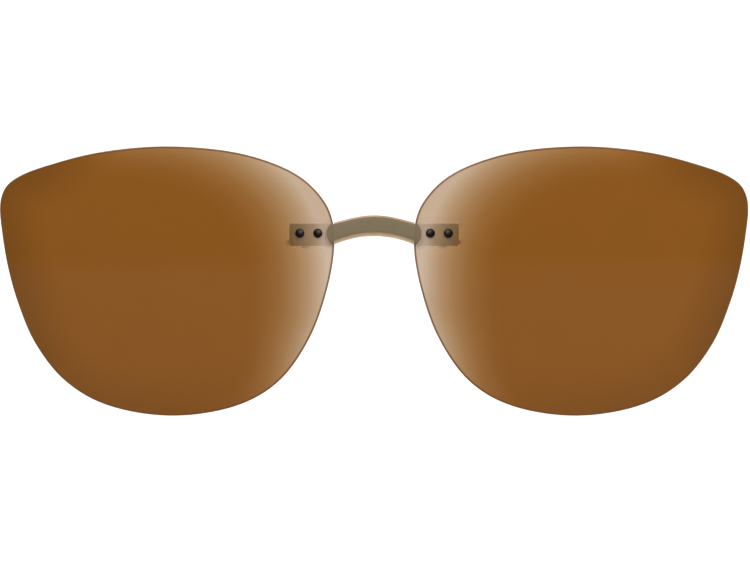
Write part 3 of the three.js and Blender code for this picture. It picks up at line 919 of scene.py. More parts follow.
def circle(radius: float, x: float = 0.0, z: float = 0.0, count: int = 48) -> Loop:
    """Points round a circle."""
    angle = np.linspace(0, 2 * math.pi, count, endpoint=False)
    return np.stack([x + radius * np.cos(angle), z + radius * np.sin(angle)], axis=1)


def rectangle(left: float, right: float, bottom: float, top: float) -> Loop:
    """A rectangle's four corners."""
    return np.array([(left, bottom), (right, bottom), (right, top), (left, top)])


def eased(start: np.ndarray, corner: np.ndarray, end: np.ndarray, steps: int) -> np.ndarray:
    """A curve round a corner from start to end, (1 - t)^2 start + 2 t (1 - t) corner + t^2 end."""
    t = np.linspace(0, 1, steps)[:, None]
    return (1 - t) ** 2 * start + 2 * t * (1 - t) * corner + t**2 * end


def rounded(corners: Sequence[Pair], radius: float, steps: int = 6) -> Loop:
    """A polygon whose corners are eased, each from at most radius away."""
    corners = np.asarray(corners, float)
    before, after = np.roll(corners, 1, axis=0), np.roll(corners, -1, axis=0)

    def towards(other: np.ndarray) -> np.ndarray:
        """The points at most radius from each corner towards its neighbour."""
        way = other - corners
        length = np.linalg.norm(way, axis=1, keepdims=True)
        return corners + way / length * np.minimum(radius, length * 0.45)

    a, b = towards(before)[:, None], towards(after)[:, None]
    return eased(a, corners[:, None], b, steps).reshape(-1, 2)


def inset_loop(loop: Loop, depth: float) -> Loop:
    """A closed outline moved inwards along its normals by depth."""
    way = np.roll(loop, -1, axis=0) - np.roll(loop, 1, axis=0)
    normal = np.stack([-way[:, 1], way[:, 0]], axis=1)
    normal /= np.linalg.norm(normal, axis=1, keepdims=True)
    area = np.sum(loop[:, 0] * np.roll(loop[:, 1], -1) - loop[:, 1] * np.roll(loop[:, 0], -1))
    return loop + normal * depth * np.sign(area)


def slab(
    name: str, outline: Loop, front: float, back: float, edge: float, holes: Sequence[Loop] = ()
) -> bpy.types.Object:
    """A plate across Y with rounded edges: every outline is carried from front to back, and inset near
    both faces by edge * (1 - sin a) as the depth goes through edge * (1 - cos a).

    Args:
        name: the object's name.
        outline: its outline in X and Z.
        front: its front face.
        back: its back face.
        edge: how far its edges are rounded.
        holes: the outlines of holes through it.

    Returns:
        The object.
    """
    turn = quarter(0, 1, 4)
    inset = edge * (1 - np.sin(turn))
    depth = edge * (1 - np.cos(turn))
    insets = np.concatenate([inset, inset[::-1]])
    places = np.concatenate([front + depth, back - depth[::-1]])
    work = bmesh.new()
    rims = {0: [], len(insets) - 1: []}
    for loop, sign in [(outline, 1.0), *((hole, -1.0) for hole in holes)]:
        rows = []
        for amount, y in zip(insets, places):
            flat = inset_loop(loop, amount * sign)
            points = np.column_stack([flat[:, 0], np.full(len(flat), y), flat[:, 1]]) * MM
            rows.append([work.verts.new(point) for point in points.tolist()])
        for above, below in zip(rows, rows[1:]):
            for i in range(len(above)):
                after = (i + 1) % len(above)
                work.faces.new((above[i], above[after], below[after], below[i]))
        for index in rims:
            rim = rows[index]
            rims[index] += [work.edges.get((rim[i - 1], rim[i])) for i in range(len(rim))]
    for edges in rims.values():
        bmesh.ops.triangle_fill(work, use_beauty=True, use_dissolve=False, edges=edges)
    bmesh.ops.recalc_face_normals(work, faces=work.faces)
    mesh = bpy.data.meshes.new(name)
    work.to_mesh(mesh)
    work.free()
    return new_object(name, mesh)


def shade_smooth(made: bpy.types.Object) -> None:
    """Smooths the shading of all faces."""
    made.data.polygons.foreach_set("use_smooth", np.ones(len(made.data.polygons), bool))


def places_of(made: bpy.types.Object) -> np.ndarray:
    """The places of a mesh's points, in metres."""
    places = np.empty(len(made.data.vertices) * 3, np.float32)
    made.data.vertices.foreach_get("co", places)
    return places.reshape(-1, 3).astype(float)


def write_attribute(made: bpy.types.Object, name: str, values: np.ndarray) -> None:
    """Writes a number on each point of a mesh."""
    attribute = made.data.attributes.new(name, "FLOAT", "POINT")
    attribute.data.foreach_set("value", values.astype(np.float32))


def turn_to_x(made: bpy.types.Object) -> bpy.types.Object:
    """Turns a plate made across Y so that it lies across X: (x, y, z) goes to (y, x, z)."""
    turned_places = places_of(made)[:, [1, 0, 2]]
    made.data.vertices.foreach_set("co", turned_places.astype(np.float32).ravel())
    outwards(made)
    return made


class Cut(Enum):
    """How two bodies are put together."""

    JOIN = "UNION"
    REMOVE = "DIFFERENCE"


def combine(first: bpy.types.Object, how: Cut, *others: bpy.types.Object) -> bpy.types.Object:
    """Joins the others to the first body, or cuts them out of it, and removes them."""
    for other in others:
        modifier = first.modifiers.new("combine", "BOOLEAN")
        modifier.operation = how.value
        modifier.solver = "EXACT"
        modifier.object = other
        graph = bpy.context.evaluated_depsgraph_get()
        mesh = bpy.data.meshes.new_from_object(first.evaluated_get(graph))
        first.modifiers.clear()
        old, first.data = first.data, mesh
        bpy.data.meshes.remove(old)
        bpy.data.objects.remove(other)
    outwards(first)
    return first


def dress(
    made: bpy.types.Object,
    body: str,
    nodes: Sequence[str],
    slot: str,
    *finishes: Finish,
    sharp_degrees: float = 35.0,
) -> bpy.types.Object:
    """Gives a piece its finishes, and ties it to the CAD body and nodes that it stands for.

    Args:
        made: the piece.
        body: the CAD body that it moves with.
        nodes: the CAD nodes that it replaces.
        slot: the record's material slot; not used.
        finishes: its finishes, in the order of its material indices.
        sharp_degrees: edges that bend more than this stay crisp.

    Returns:
        The piece.
    """
    for finish in finishes:
        made.data.materials.append(material_of(finish))
    shade_smooth(made)
    made.data.set_sharp_from_angle(angle=math.radians(sharp_degrees))
    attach(made, body)
    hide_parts(*nodes)
    log.info("%s: %d faces, rides on %s", made.name, len(made.data.polygons), body)
    return made


# ---------------------------------------------------------------- flip front


SCREW_X: Pair = (9.75, 12.87)
PIVOT: Pair = (4.0, 0.15)
PLATE_HALF = 5.6
WIRE_RADIUS = 0.4
WIRE_END = 0.12
WIRE_COLUMNS = 20


class Side(Enum):
    """The two sides, as the sign of X."""

    LEFT = -1
    RIGHT = 1

    @property
    def word(self) -> str:
        """The side's word in names."""
        return self.name.lower()

    def mirror(self, loop: Loop) -> Loop:
        """An outline of the right side, put on this side."""
        return loop * np.array([self.value, 1])


def bar_top(x: np.ndarray) -> np.ndarray:
    """The height of the arch's top edge: 3.11 - 0.0335 x^2 + 0.00016 x^4."""
    return 3.11 - 0.0335 * x**2 + 0.00016 * x**4


def bar_bottom(x: np.ndarray) -> np.ndarray:
    """The height of the arch's bottom edge: -0.5 - 0.0304 x^2."""
    return -0.5 - 0.0304 * x**2


def arch_outline(half: float, inset_top: float, inset_bottom: float, corner: float) -> Loop:
    """A plate's outline that follows the bar's arch, inset from its top and its bottom edge."""
    x = np.linspace(-half, half, 41)
    bottom = np.column_stack([x, bar_bottom(x) + inset_bottom])
    top = np.column_stack([x, bar_top(x) - inset_top])[::-1]

    def corner_at(before: np.ndarray, point: np.ndarray, after: np.ndarray) -> np.ndarray:
        """The curve round one corner, from and to its two sides."""
        a, b = (
            point + (other - point) / np.linalg.norm(other - point) * corner
            for other in (before, after)
        )
        return eased(a, point, b, 6)

    pieces = []
    for edge, other in ((bottom, top), (top, bottom)):
        pieces += [
            edge[np.abs(edge[:, 0]) < half - corner],
            corner_at(edge[-2], edge[-1], other[0]),
            corner_at(edge[-1], other[0], other[1]),
        ]
    return np.concatenate(pieces)


@dataclass
class Lens:
    """One rimless lens: a slice of a ball, with rounded polished edges and two drilled holes.

    Attributes:
        side: which lens it is.
        outline: points (x, z) round the right lens, from the top towards the temple.
        centre: where its rings of points shrink to.
        radius: the radius of the ball that its front lies on.
        crest_x: where its front faces straight forwards.
        front: how far forward its crest is.
        thickness: its thickness.
        edge: how far its edges are rounded.
        hole: the radius of its holes.
        hole_x: where its holes are.
        shy: how far inside the outline its rim is.
        columns: how many points go round it.
    """

    side: Side
    outline: tuple[Pair, ...] = (
        (35.3, 15.1), (47.4, 14.15), (56.1, 12.05), (61.4, 10.15), (63.9, 8.4), (64.95, 6.3),
        (65.18, 4.0), (64.85, 0.6), (63.8, -5.7), (62.05, -11.95), (59.0, -19.1), (53.95, -25.5),
        (46.9, -29.7), (35.0, -31.7), (23.2, -29.7), (16.35, -25.5), (11.2, -18.2), (8.17, -9.85),
        (6.9, -2.55), (7.25, 2.4), (8.8, 5.8), (13.05, 9.96), (22.1, 13.6),
    )
    centre: Pair = (36.0, -8.0)
    radius: float = 180.0
    crest_x: float = 11.3
    front: float = -8.4
    thickness: float = 1.5
    edge: float = 0.2
    hole: float = 0.74
    hole_x: Pair = SCREW_X
    shy: float = 0.01
    columns: int = 320

    def front_at(self, places: np.ndarray) -> np.ndarray:
        """How far back the front is: front + R - sqrt(R^2 - (x - crest)^2 - z^2), for rows of (x, z)."""
        across = (places[..., 0] - self.crest_x) ** 2 + places[..., 1] ** 2
        return self.front + self.radius - np.sqrt(self.radius**2 - across)

    def outer_edge(self, count: int) -> Loop:
        """count points at even distances round the right lens's edge."""
        return evenly(spline(np.array(self.outline), True), count, True)

    def grid(self) -> np.ndarray:
        """Rings of points: each point of the rim moves towards the centre by the ring's inset. The first
        rings round the edge off by a quarter circle, and the others run to the centre in even shares.
        """
        rim = inset_loop(self.outer_edge(self.columns), self.shy)
        centre = np.array(self.centre)
        reach = np.linalg.norm(rim - centre, axis=1)
        turn = quarter(0, 1, 5)
        rounding = self.edge * (1 - np.sin(turn))[::-1]
        drop = self.edge * (1 - np.cos(turn))[::-1]
        border = np.array([0.28, 0.36, 0.5, 0.75, 1.1, 1.6, 2.3, 3.2, 4.2, 5.4, 6.8, 8.4, 10.0])
        share = np.linspace(1, 0.02, 22)[1:]
        outer = np.tile(np.append(rounding, border)[:, None], (1, len(rim)))
        inner = border[-1] + (1 - share)[:, None] * (reach - border[-1])
        inset = np.concatenate([outer, inner])
        drops = np.concatenate([drop, np.zeros(len(inset) - len(drop))])
        places = centre + (rim - centre)[None] * (1 - inset / reach)[..., None]
        depth = self.front_at(places)
        front = np.stack([places[..., 0], depth + drops[:, None], places[..., 1]], axis=-1)
        back = front.copy()
        back[..., 1] = depth + self.thickness - drops[:, None]
        return np.concatenate([front[::-1], back])

    def set_edge_distance(self, made: bpy.types.Object) -> None:
        """Writes on each point how far it is from the lens's edge, in metres: the least distance to the
        points of a close copy of the rim.
        """
        flat = places_of(made)[:, [0, 2]]
        flat[:, 0] = np.abs(flat[:, 0])
        rim = self.outer_edge(4 * self.columns) * MM
        nearest = [
            np.sqrt(((part[:, None] - rim[None]) ** 2).sum(-1).min(1))
            for part in np.array_split(flat, 24)
        ]
        write_attribute(made, EDGE_DISTANCE, np.concatenate(nearest))

    def build(self) -> bpy.types.Object:
        """Makes the lens with its holes."""
        grid = self.grid() * np.array([self.side.value, 1, 1])
        made = shell(f"{self.side.word}_tinted_lens", grid)
        drills = [drill(*across(self.side.value * x, 0, -10, -5), self.hole) for x in self.hole_x]
        combine(made, Cut.REMOVE, *drills)
        self.set_edge_distance(made)
        return dress(made, "flip_front", [f"{self.side.word}_lens"], "lens_tint", Finish.LENS)


@dataclass
class BridgeBar:
    """The arched bar: an olive face between a thin polished bevel on top and a wide double one below,
    with a rounded cap at each end that laps over a lens.

    Attributes:
        half: half the bar's length.
        front: its front face.
        back: its back face.
        top_bevel: the height and the depth of the top bevel.
        under_bevel: the heights and depths of the lower bevel's two strips, from the face down.
        cap_centre: the middle of the circle that a cap's end lies on.
        cap_radius: that circle's radius.
        cap_heights: the cap's top and bottom.
        cap_back: how far back a cap goes.
        crown: how far the face bulges forwards.
        land: half the length over which the bar is at its full depth, between the lenses.
    """

    half: float = 7.0
    front: float = -9.2
    back: float = -6.9
    top_bevel: Pair = (0.3, 0.3)
    under_bevel: tuple[Pair, ...] = ((0.62, 0.0), (0.3, 0.34), (0.0, 0.9))
    cap_centre: Pair = (5.77, -0.05)
    cap_radius: float = 2.4
    cap_heights: Pair = (1.72, -1.92)
    cap_back: float = -8.5
    crown: float = 0.09
    land: float = 6.7

    def section(self) -> np.ndarray:
        """The bar's section.

        Returns:
            Rows of (y, offset in z, share of the way from the bottom to the top edge).
        """
        height, depth = self.top_bevel
        (face_low, _), (crease, crease_depth), (_, under_depth) = self.under_bevel
        share = np.linspace(0, 1, 12)
        face_offset = face_low + (-height - face_low) * share
        bulge = self.crown * (1 - (2 * share - 1) ** 4)
        face = np.column_stack([self.front + self.crown - bulge, face_offset, share])
        lip = 0.04
        return np.array([
            (self.back, 0.0, 0.0),
            (self.front + under_depth + lip, 0.0, 0.0),
            (self.front + under_depth - lip, lip * 0.7, 0.0),
            (self.front + crease_depth + lip, crease - lip, 0.0),
            (self.front + crease_depth - lip * 0.5, crease + lip, 0.0),
            (self.front + self.crown + lip * 0.4, face_low - lip, 0.0),
            *face.tolist(),
            (self.front + depth - lip, -lip * 0.7, 1.0),
            (self.front + depth + lip, 0.0, 1.0),
            (self.back, 0.0, 1.0),
        ])

    def arched_bar(self) -> bpy.types.Object:
        """The section carried along X: at each x a point's height is its offset from the arch's bottom or
        top edge there, or between them.
        """
        section = self.section()
        x = np.linspace(-self.half, self.half, 121)
        step = np.array([-self.land - 0.001, -self.land, self.land, self.land + 0.001])
        x = np.sort(np.concatenate([x, step]))[:, None]
        share = section[None, :, 2]
        z = bar_bottom(x) * (1 - share) + bar_top(x) * share + section[None, :, 1]
        y = np.broadcast_to(section[None, :, 0], z.shape)
        y = np.where(np.abs(x) > self.land, np.minimum(y, self.cap_back), y)
        made = shell("arched_bar", np.stack([np.broadcast_to(x, z.shape), y, z], axis=-1))
        self.paint_strips(made)
        return dress(
            made, "flip_front", ["bridge_bar"], "olive_enamel",
            Finish.OLIVE, Finish.BEVEL, Finish.UNDER_BEVEL, Finish.BRONZE, Finish.TOP_BEVEL,
            sharp_degrees=14,
        )

    def paint_strips(self, made: bpy.types.Object) -> None:
        """Gives each face its strip's finish, from its middle's depth and its height in the arch."""
        count = len(made.data.polygons)
        middles = np.empty(count * 3, np.float32)
        made.data.polygons.foreach_get("center", middles)
        x, y, z = (middles.reshape(-1, 3) / MM).T
        above = z - bar_bottom(x)
        below = bar_top(x) - z
        height, depth = self.top_bevel
        (face_low, _), (crease, _), (_, under_depth) = self.under_bevel
        # The lowest strip gets the paler copy of the bevel metal, painted light, and the top strip the
        # darker copy, painted shade.
        olive, upper_strip, painted_light_strip, bronze, painted_shade_strip = range(5)
        nearly = 0.001
        finish = np.full(count, bronze)
        forward = y < self.front + under_depth
        finish[forward & (above < crease)] = painted_light_strip
        finish[forward & (above >= crease) & (above < face_low)] = upper_strip
        finish[(y < self.front + depth) & (above >= face_low - nearly)] = olive
        finish[(y < self.front + depth) & (below < height)] = painted_shade_strip
        finish[np.abs(x) > self.half - nearly] = bronze
        made.data.polygons.foreach_set("material_index", finish.astype(np.int32))

    def cap(self, side: Side) -> bpy.types.Object:
        """A cap: a plate whose outer end lies on a circle, with a well rounded front edge."""
        cx, cz = self.cap_centre
        top, bottom = self.cap_heights
        low, high = (math.asin((z - cz) / self.cap_radius) for z in (bottom, top))
        turn = np.linspace(low, high, 28)
        end = np.column_stack([cx + self.cap_radius * np.cos(turn), cz + self.cap_radius * np.sin(turn)])
        inner = np.array([(6.6, 1.5), (6.6, -0.9), (6.98, -1.3)])
        outline = side.mirror(np.concatenate([inner, end]))
        made = slab(f"{side.word}_bar_cap", outline, self.front + self.crown - 0.02, self.cap_back, 0.14)
        return dress(made, "flip_front", ["bridge_bar"], "olive_enamel", Finish.CAP)

    def build(self) -> list[bpy.types.Object]:
        """Makes the bar and its caps."""
        return [self.arched_bar(), *(self.cap(side) for side in Side)]


@dataclass
class LensFixing:
    """What holds a lens to its tab: the tab plate, and two screws with their bushings and nuts.

    Attributes:
        side: which lens it holds.
        tab: the tab plate's inner and outer end, bottom and top.
        neck: its neck's inner end, bottom and top.
        depth: the tab plate's front and back.
        hole: the radius of the holes in the tab and the nuts.
        screw_x: where the screws are.
        head: the radius of a screw's head.
        dome: how far the head bulges.
        seat: where the head meets the lens.
        shank: the radius of the thread.
        screw_end: where the screw ends.
        rub_place: how far inwards and up from a head's middle its painted highlight is.
        rub_width: how wide the painted highlight is.
        bushing: a bushing's front, back, outer and inner radius.
        nut: a nut's front, back and width across flats.
    """

    side: Side
    tab: tuple[float, float, float, float] = (7.1, 14.7, -2.2, 1.67)
    neck: Triple = (5.2, -1.2, 1.4)
    depth: Pair = (-6.75, -5.95)
    hole: float = 0.52
    screw_x: Pair = SCREW_X
    head: float = 0.79
    dome: float = 0.46
    seat: float = -8.43
    shank: float = 0.45
    screw_end: float = -4.95
    rub_place: Pair = (-0.18, 0.3)
    rub_width: float = 0.36
    bushing: tuple[float, float, float, float] = (-8.36, -6.92, 0.69, 0.52)
    nut: Triple = (-5.9, -5.2, 1.5)

    def tab_plate(self) -> bpy.types.Object:
        """The plate behind the lens, with its narrower neck."""
        inner, outer, bottom, top = self.tab
        neck_inner, neck_bottom, neck_top = self.neck
        slope = 0.3
        corners = [
            (neck_inner, neck_bottom), (inner - slope, neck_bottom), (inner, bottom), (outer, bottom),
            (outer, top), (inner, top), (inner - slope, neck_top), (neck_inner, neck_top),
        ]
        outline = self.side.mirror(rounded(corners, 0.4))
        holes = [circle(self.hole, self.side.value * x, 0, 32) for x in self.screw_x]
        made = slab(f"{self.side.word}_tab", outline, *self.depth, 0.1, holes)
        return dress(made, "flip_front", [f"{self.side.word}_tab_plate"], "bronze", Finish.TAB)

    def screw(self, x: float, place: str) -> bpy.types.Object:
        """A domed screw: an ellipse for the dome, a small rounded lip, then a threaded shank whose radius
        goes up and down by a small triangle wave.
        """
        angle = quarter(0, 1, 14)
        lip = 0.06
        rise = self.dome * (1 - lip) * (1 - np.cos(angle))
        dome = np.column_stack([rise, (self.head - 0.03) * np.sin(angle)])[1:]
        edge = np.array([[self.dome - lip * 0.5, self.head], [self.dome, self.head - 0.02]])
        start, end = self.dome + 0.02, self.screw_end - self.seat + self.dome
        pitch, thread_depth = 0.16, 0.035
        steps = np.arange(start, end - 0.1, pitch / 2)
        wave = self.shank - thread_depth * (np.arange(len(steps)) % 2)
        thread = np.column_stack([steps, wave])
        tip = np.array([[end - 0.05, self.shank - 0.03], [end, self.shank - 0.12]])
        profile = np.concatenate([dome, edge, thread, tip])
        line = across(x, 0, self.seat - self.dome, self.screw_end)
        made = turned(f"{place}_screw", line, profile, 48)
        # painted highlight: a soft spot up and towards the nose on each head
        inwards, up = self.rub_place
        away = (places_of(made) / MM)[:, [0, 2]] - np.array([x + self.side.value * inwards, up])
        write_attribute(made, PAINTED_HIGHLIGHT, np.exp(-(away**2).sum(1) / self.rub_width**2))
        nodes = [f"{place}_lens_screw"]
        return dress(made, "flip_front", nodes, "black_steel", Finish.BLACK, sharp_degrees=50)

    def bushing_ring(self, x: float, place: str) -> bpy.types.Object:
        """The nylon bushing in the lens's hole."""
        start, end, outer, inner = self.bushing
        profile = ring_profile(0, end - start, outer, inner, 0.04)
        made = turned(f"{place}_sleeve_bushing", across(x, 0, start, end), profile, 32, ring=True)
        return dress(made, "flip_front", [f"{place}_bushing"], "nylon", Finish.NYLON)

    def hex_nut(self, x: float, place: str) -> bpy.types.Object:
        """The six-sided nut behind the tab."""
        front, back, flats = self.nut
        angle = np.arange(6) * math.pi / 3
        reach = flats / math.sqrt(3)
        corners = np.column_stack([x + reach * np.cos(angle), reach * np.sin(angle)])
        outline = rounded(corners.tolist(), 0.1, 4)
        made = slab(f"{place}_hex_nut", outline, front, back, 0.09, [circle(self.hole, x, 0, 32)])
        return dress(made, "flip_front", [f"{place}_nut"], "steel", Finish.TURNED)

    def build(self) -> list[bpy.types.Object]:
        """Makes the tab plate and the fixings."""
        made = [self.tab_plate()]
        for x, end in zip(self.screw_x, ("inner", "outer")):
            place = f"{self.side.word}_{end}"
            x *= self.side.value
            made += [self.screw(x, place), self.bushing_ring(x, place), self.hex_nut(x, place)]
        return made


@dataclass
class FlipHinge:
    """The hinge along X behind the bar: bracket, knuckles, screw, nut and friction washers.

    Attributes:
        axis: the hinge's y and z.
        knuckle: a knuckle's radius.
        bore: the radius of the hole along the hinge.
        middle: half the middle knuckle's length.
        side_knuckle: a side knuckle's inner and outer end.
        web: half the height of the webs that carry the knuckles.
        bracket: the bracket's half width, bottom and top.
        bracket_depth: its front and back.
        washer: a washer's inner end, outer end and radius.
        screw_span: where the screw's head starts and ends.
        screw_head: the radius of its head, and of the nut.
        screw_shank: the radius of its stem.
    """

    axis: Pair = (-5.1, 1.15)
    knuckle: float = 1.2
    bore: float = 0.56
    middle: float = 1.45
    side_knuckle: Pair = (1.85, 3.05)
    web: float = 0.9
    bracket: Triple = (3.1, -0.25, 2.55)
    bracket_depth: Pair = (-6.85, -6.45)
    washer: Triple = (1.5, 1.8, 1.05)
    screw_span: Pair = (3.1, 3.5)
    screw_head: float = 0.8
    screw_shank: float = 0.5

    def line(self, start: float, end: float) -> list[Triple]:
        """A line along the hinge's axis."""
        return [(start, *self.axis), (end, *self.axis)]

    def barrel(self, start: float, end: float) -> bpy.types.Object:
        """A knuckle's round part, with eased edges."""
        return turned("barrel", self.line(start, end), rod_profile(end - start, self.knuckle, 0.1), 48)

    def web_block(self, start: float, end: float, front: float, back: float) -> bpy.types.Object:
        """A knuckle's web: a small block with eased edges."""
        z = self.axis[1]
        corners = rectangle(front, back, z - self.web, z + self.web)
        return turn_to_x(slab("web", rounded(corners, 0.08, 4), start, end, 0.07))

    def drill(self) -> bpy.types.Object:
        """A cutter for the hole along the hinge."""
        return drill(*self.line(-5, 5), self.bore, 40)

    def bracket_plate(self) -> bpy.types.Object:
        """The bracket on the bar's back, with the two side knuckles."""
        half, bottom, top = self.bracket
        front, back = self.bracket_depth
        corners = rectangle(-half, half, bottom, top)
        made = slab("flip_bracket", rounded(corners, 0.45), front, back, 0.08)
        for side in Side:
            start, end = sorted(side.value * x for x in self.side_knuckle)
            web = self.web_block(start, end, back - 0.1, self.axis[0])
            combine(made, Cut.JOIN, web, self.barrel(start, end))
        combine(made, Cut.REMOVE, self.drill())
        return dress(made, "flip_front", ["hinge_bracket"], "bronze", Finish.BRONZE)

    def screw(self) -> bpy.types.Object:
        """The hinge screw: its stem, and a slotted round head on the right."""
        head_start, end = self.screw_span
        start = -end
        head_at = head_start - start
        shank, radius, ease = self.screw_shank, self.screw_head, 0.09
        turn = quarter(0, 1)
        stem = np.array([[0, shank - 0.1], [0.1, shank], [head_at, shank]])
        collar = np.array([[head_at, radius - 0.03], [head_at + 0.03, radius]])
        along = end - start - ease + ease * np.sin(turn)
        head = np.column_stack([along, radius - ease + ease * np.cos(turn)])
        profile = np.concatenate([stem, collar, head])
        made = turned("flip_hinge_screw", self.line(start, end), profile, 48)
        y, z = self.axis
        reach, half_width, depth, past = 1.2, 0.09, 0.16, 0.2
        slot = rectangle(y - reach, y + reach, z - half_width, z + half_width)
        combine(made, Cut.REMOVE, turn_to_x(slab("slot", slot, end - depth, end + past, 0.0)))
        return dress(made, "clip_body", ["hinge_screw"], "steel", Finish.TURNED)

    def ring(
        self, name: str, node: str, span: Sequence[float], radius: float, slot: str, finish: Finish
    ) -> bpy.types.Object:
        """A ring about the hinge's axis, with the hinge's bore."""
        start, end = span
        profile = ring_profile(0, end - start, radius, self.bore, 0.05)
        made = turned(name, self.line(start, end), profile, 48, ring=True)
        return dress(made, "clip_body", [node], slot, finish)

    def build(self) -> list[bpy.types.Object]:
        """Makes the hinge's pieces, except for the middle knuckle, which the clip's front plate has."""
        nut = (-self.screw_span[1] + 0.05, -self.screw_span[0])
        made = [
            self.bracket_plate(),
            self.screw(),
            self.ring("flip_hinge_nut", "hinge_nut", nut, self.screw_head, "steel", Finish.TURNED),
        ]
        *ends, radius = self.washer
        for side in Side:
            name, node = f"{side.word}_nylon_washer", f"{side.word}_friction_washer"
            span = sorted(side.value * x for x in ends)
            made.append(self.ring(name, node, span, radius, "nylon", Finish.NYLON))
        return made


# ---------------------------------------------------------------- clip body


@dataclass
class ClipBody:
    """The riveted body behind the hinge: two arched plates, a spacer between them, and a soft pad.

    Attributes:
        hinge: the hinge whose middle knuckle the front plate carries.
        half: half a plate's width.
        inset: how far a plate is inside the bar's top and bottom edges.
        front_plate: the front plate's depths.
        rear_plate: the rear plate's depths.
        spacer: the spacer's half width and depths.
        pad: the pad's half width and depths.
        nose: the stop nose's half width, front, bottom and top.
        rivet: a rivet's x, z, radius and hole.
        pivot: a pivot's x and z.
        pivot_hole: the radius of a pivot's hole.
    """

    hinge: FlipHinge = field(default_factory=FlipHinge)
    half: float = PLATE_HALF
    inset: Pair = (0.45, 0.12)
    front_plate: Pair = (-3.65, -3.05)
    rear_plate: Pair = (-1.45, -0.85)
    spacer: Triple = (2.85, -3.0, -1.5)
    pad: Triple = (5.3, -0.8, 0.0)
    nose: tuple[float, float, float, float] = (1.3, -6.35, -0.3, 0.35)
    rivet: tuple[float, float, float, float] = (2.2, 1.3, 0.4, 0.45)
    pivot: Pair = PIVOT
    pivot_hole: float = 0.47

    def outline(self, half: float, extra: float, corner: float) -> Loop:
        """A plate's arched outline, with extra inset."""
        top, bottom = self.inset
        return arch_outline(half, top + extra, bottom + extra, corner)

    def holes(self, with_pivots: bool) -> list[Loop]:
        """The rivet holes, and the pivot holes too if asked."""
        rivet_x, rivet_z, _, rivet_hole = self.rivet
        pivot_x, pivot_z = self.pivot
        made = [circle(rivet_hole, side.value * rivet_x, rivet_z, 28) for side in Side]
        if with_pivots:
            made += [circle(self.pivot_hole, side.value * pivot_x, pivot_z, 28) for side in Side]
        return made

    def front_sheet(self) -> bpy.types.Object:
        """The front plate with the hinge's middle knuckle and the nose that stops the front at rest."""
        front, back = self.front_plate
        hinge = self.hinge
        outline = self.outline(self.half, 0, 0.4)
        made = slab("clip_front_plate", outline, front, back, 0.1, self.holes(True))
        half, nose_front, bottom, top = self.nose
        nose_back = hinge.axis[0] + 0.5
        corners = rectangle(nose_front, nose_back, bottom, top)
        nose = turn_to_x(slab("nose", rounded(corners, 0.1, 4), -half, half, 0.1))
        web = hinge.web_block(-hinge.middle, hinge.middle, hinge.axis[0], front + 0.1)
        combine(made, Cut.JOIN, web, hinge.barrel(-hinge.middle, hinge.middle), nose)
        combine(made, Cut.REMOVE, hinge.drill())
        return dress(made, "clip_body", ["hinge_plate"], "bronze", Finish.BRONZE)

    def rivet_rod(self, side: Side) -> bpy.types.Object:
        """A flush rivet: a rod with eased ends and a shallow round hollow in each."""
        x, z, radius, _ = self.rivet
        start, end = self.front_plate[0], self.rear_plate[1]
        length = end - start
        dish = 0.05
        profile = np.array([
            [dish, 0.12], [dish * 0.6, 0.22], [0.005, radius - 0.08], [0, radius - 0.05], [0.04, radius],
            [length / 2, radius], [length - 0.04, radius], [length, radius - 0.05],
            [length - 0.005, radius - 0.08], [length - dish * 0.6, 0.22], [length - dish, 0.12],
        ])
        x *= side.value
        made = turned(f"{side.word}_rivet", across(x, z, start, end), profile, 32)
        return dress(made, "clip_body", [f"{side.word}_body_rivet"], "steel", Finish.TURNED)

    def build(self) -> list[bpy.types.Object]:
        """Makes the plates, the spacer, the pad and the rivets."""
        half, *spacer_depths = self.spacer
        outline = self.outline(half, 0.15, 0.2)
        spacer = slab("clip_spacer", outline, *spacer_depths, 0.05, self.holes(False))
        outline = self.outline(self.half, 0, 0.4)
        rear = slab("clip_rear_plate", outline, *self.rear_plate, 0.1, self.holes(True))
        pad_half, *pad_depths = self.pad
        pad = slab("nose_bridge_pad", self.outline(pad_half, 0.1, 0.6), *pad_depths, 0.22)
        return [
            self.front_sheet(),
            dress(spacer, "clip_body", ["body_spacer"], "bronze", Finish.BRONZE),
            dress(rear, "clip_body", ["rear_plate"], "bronze", Finish.BRONZE),
            dress(pad, "clip_body", ["bridge_pad"], "silicone", Finish.PAD),
            *(self.rivet_rod(side) for side in Side),
        ]


# ---------------------------------------------------------------- claws


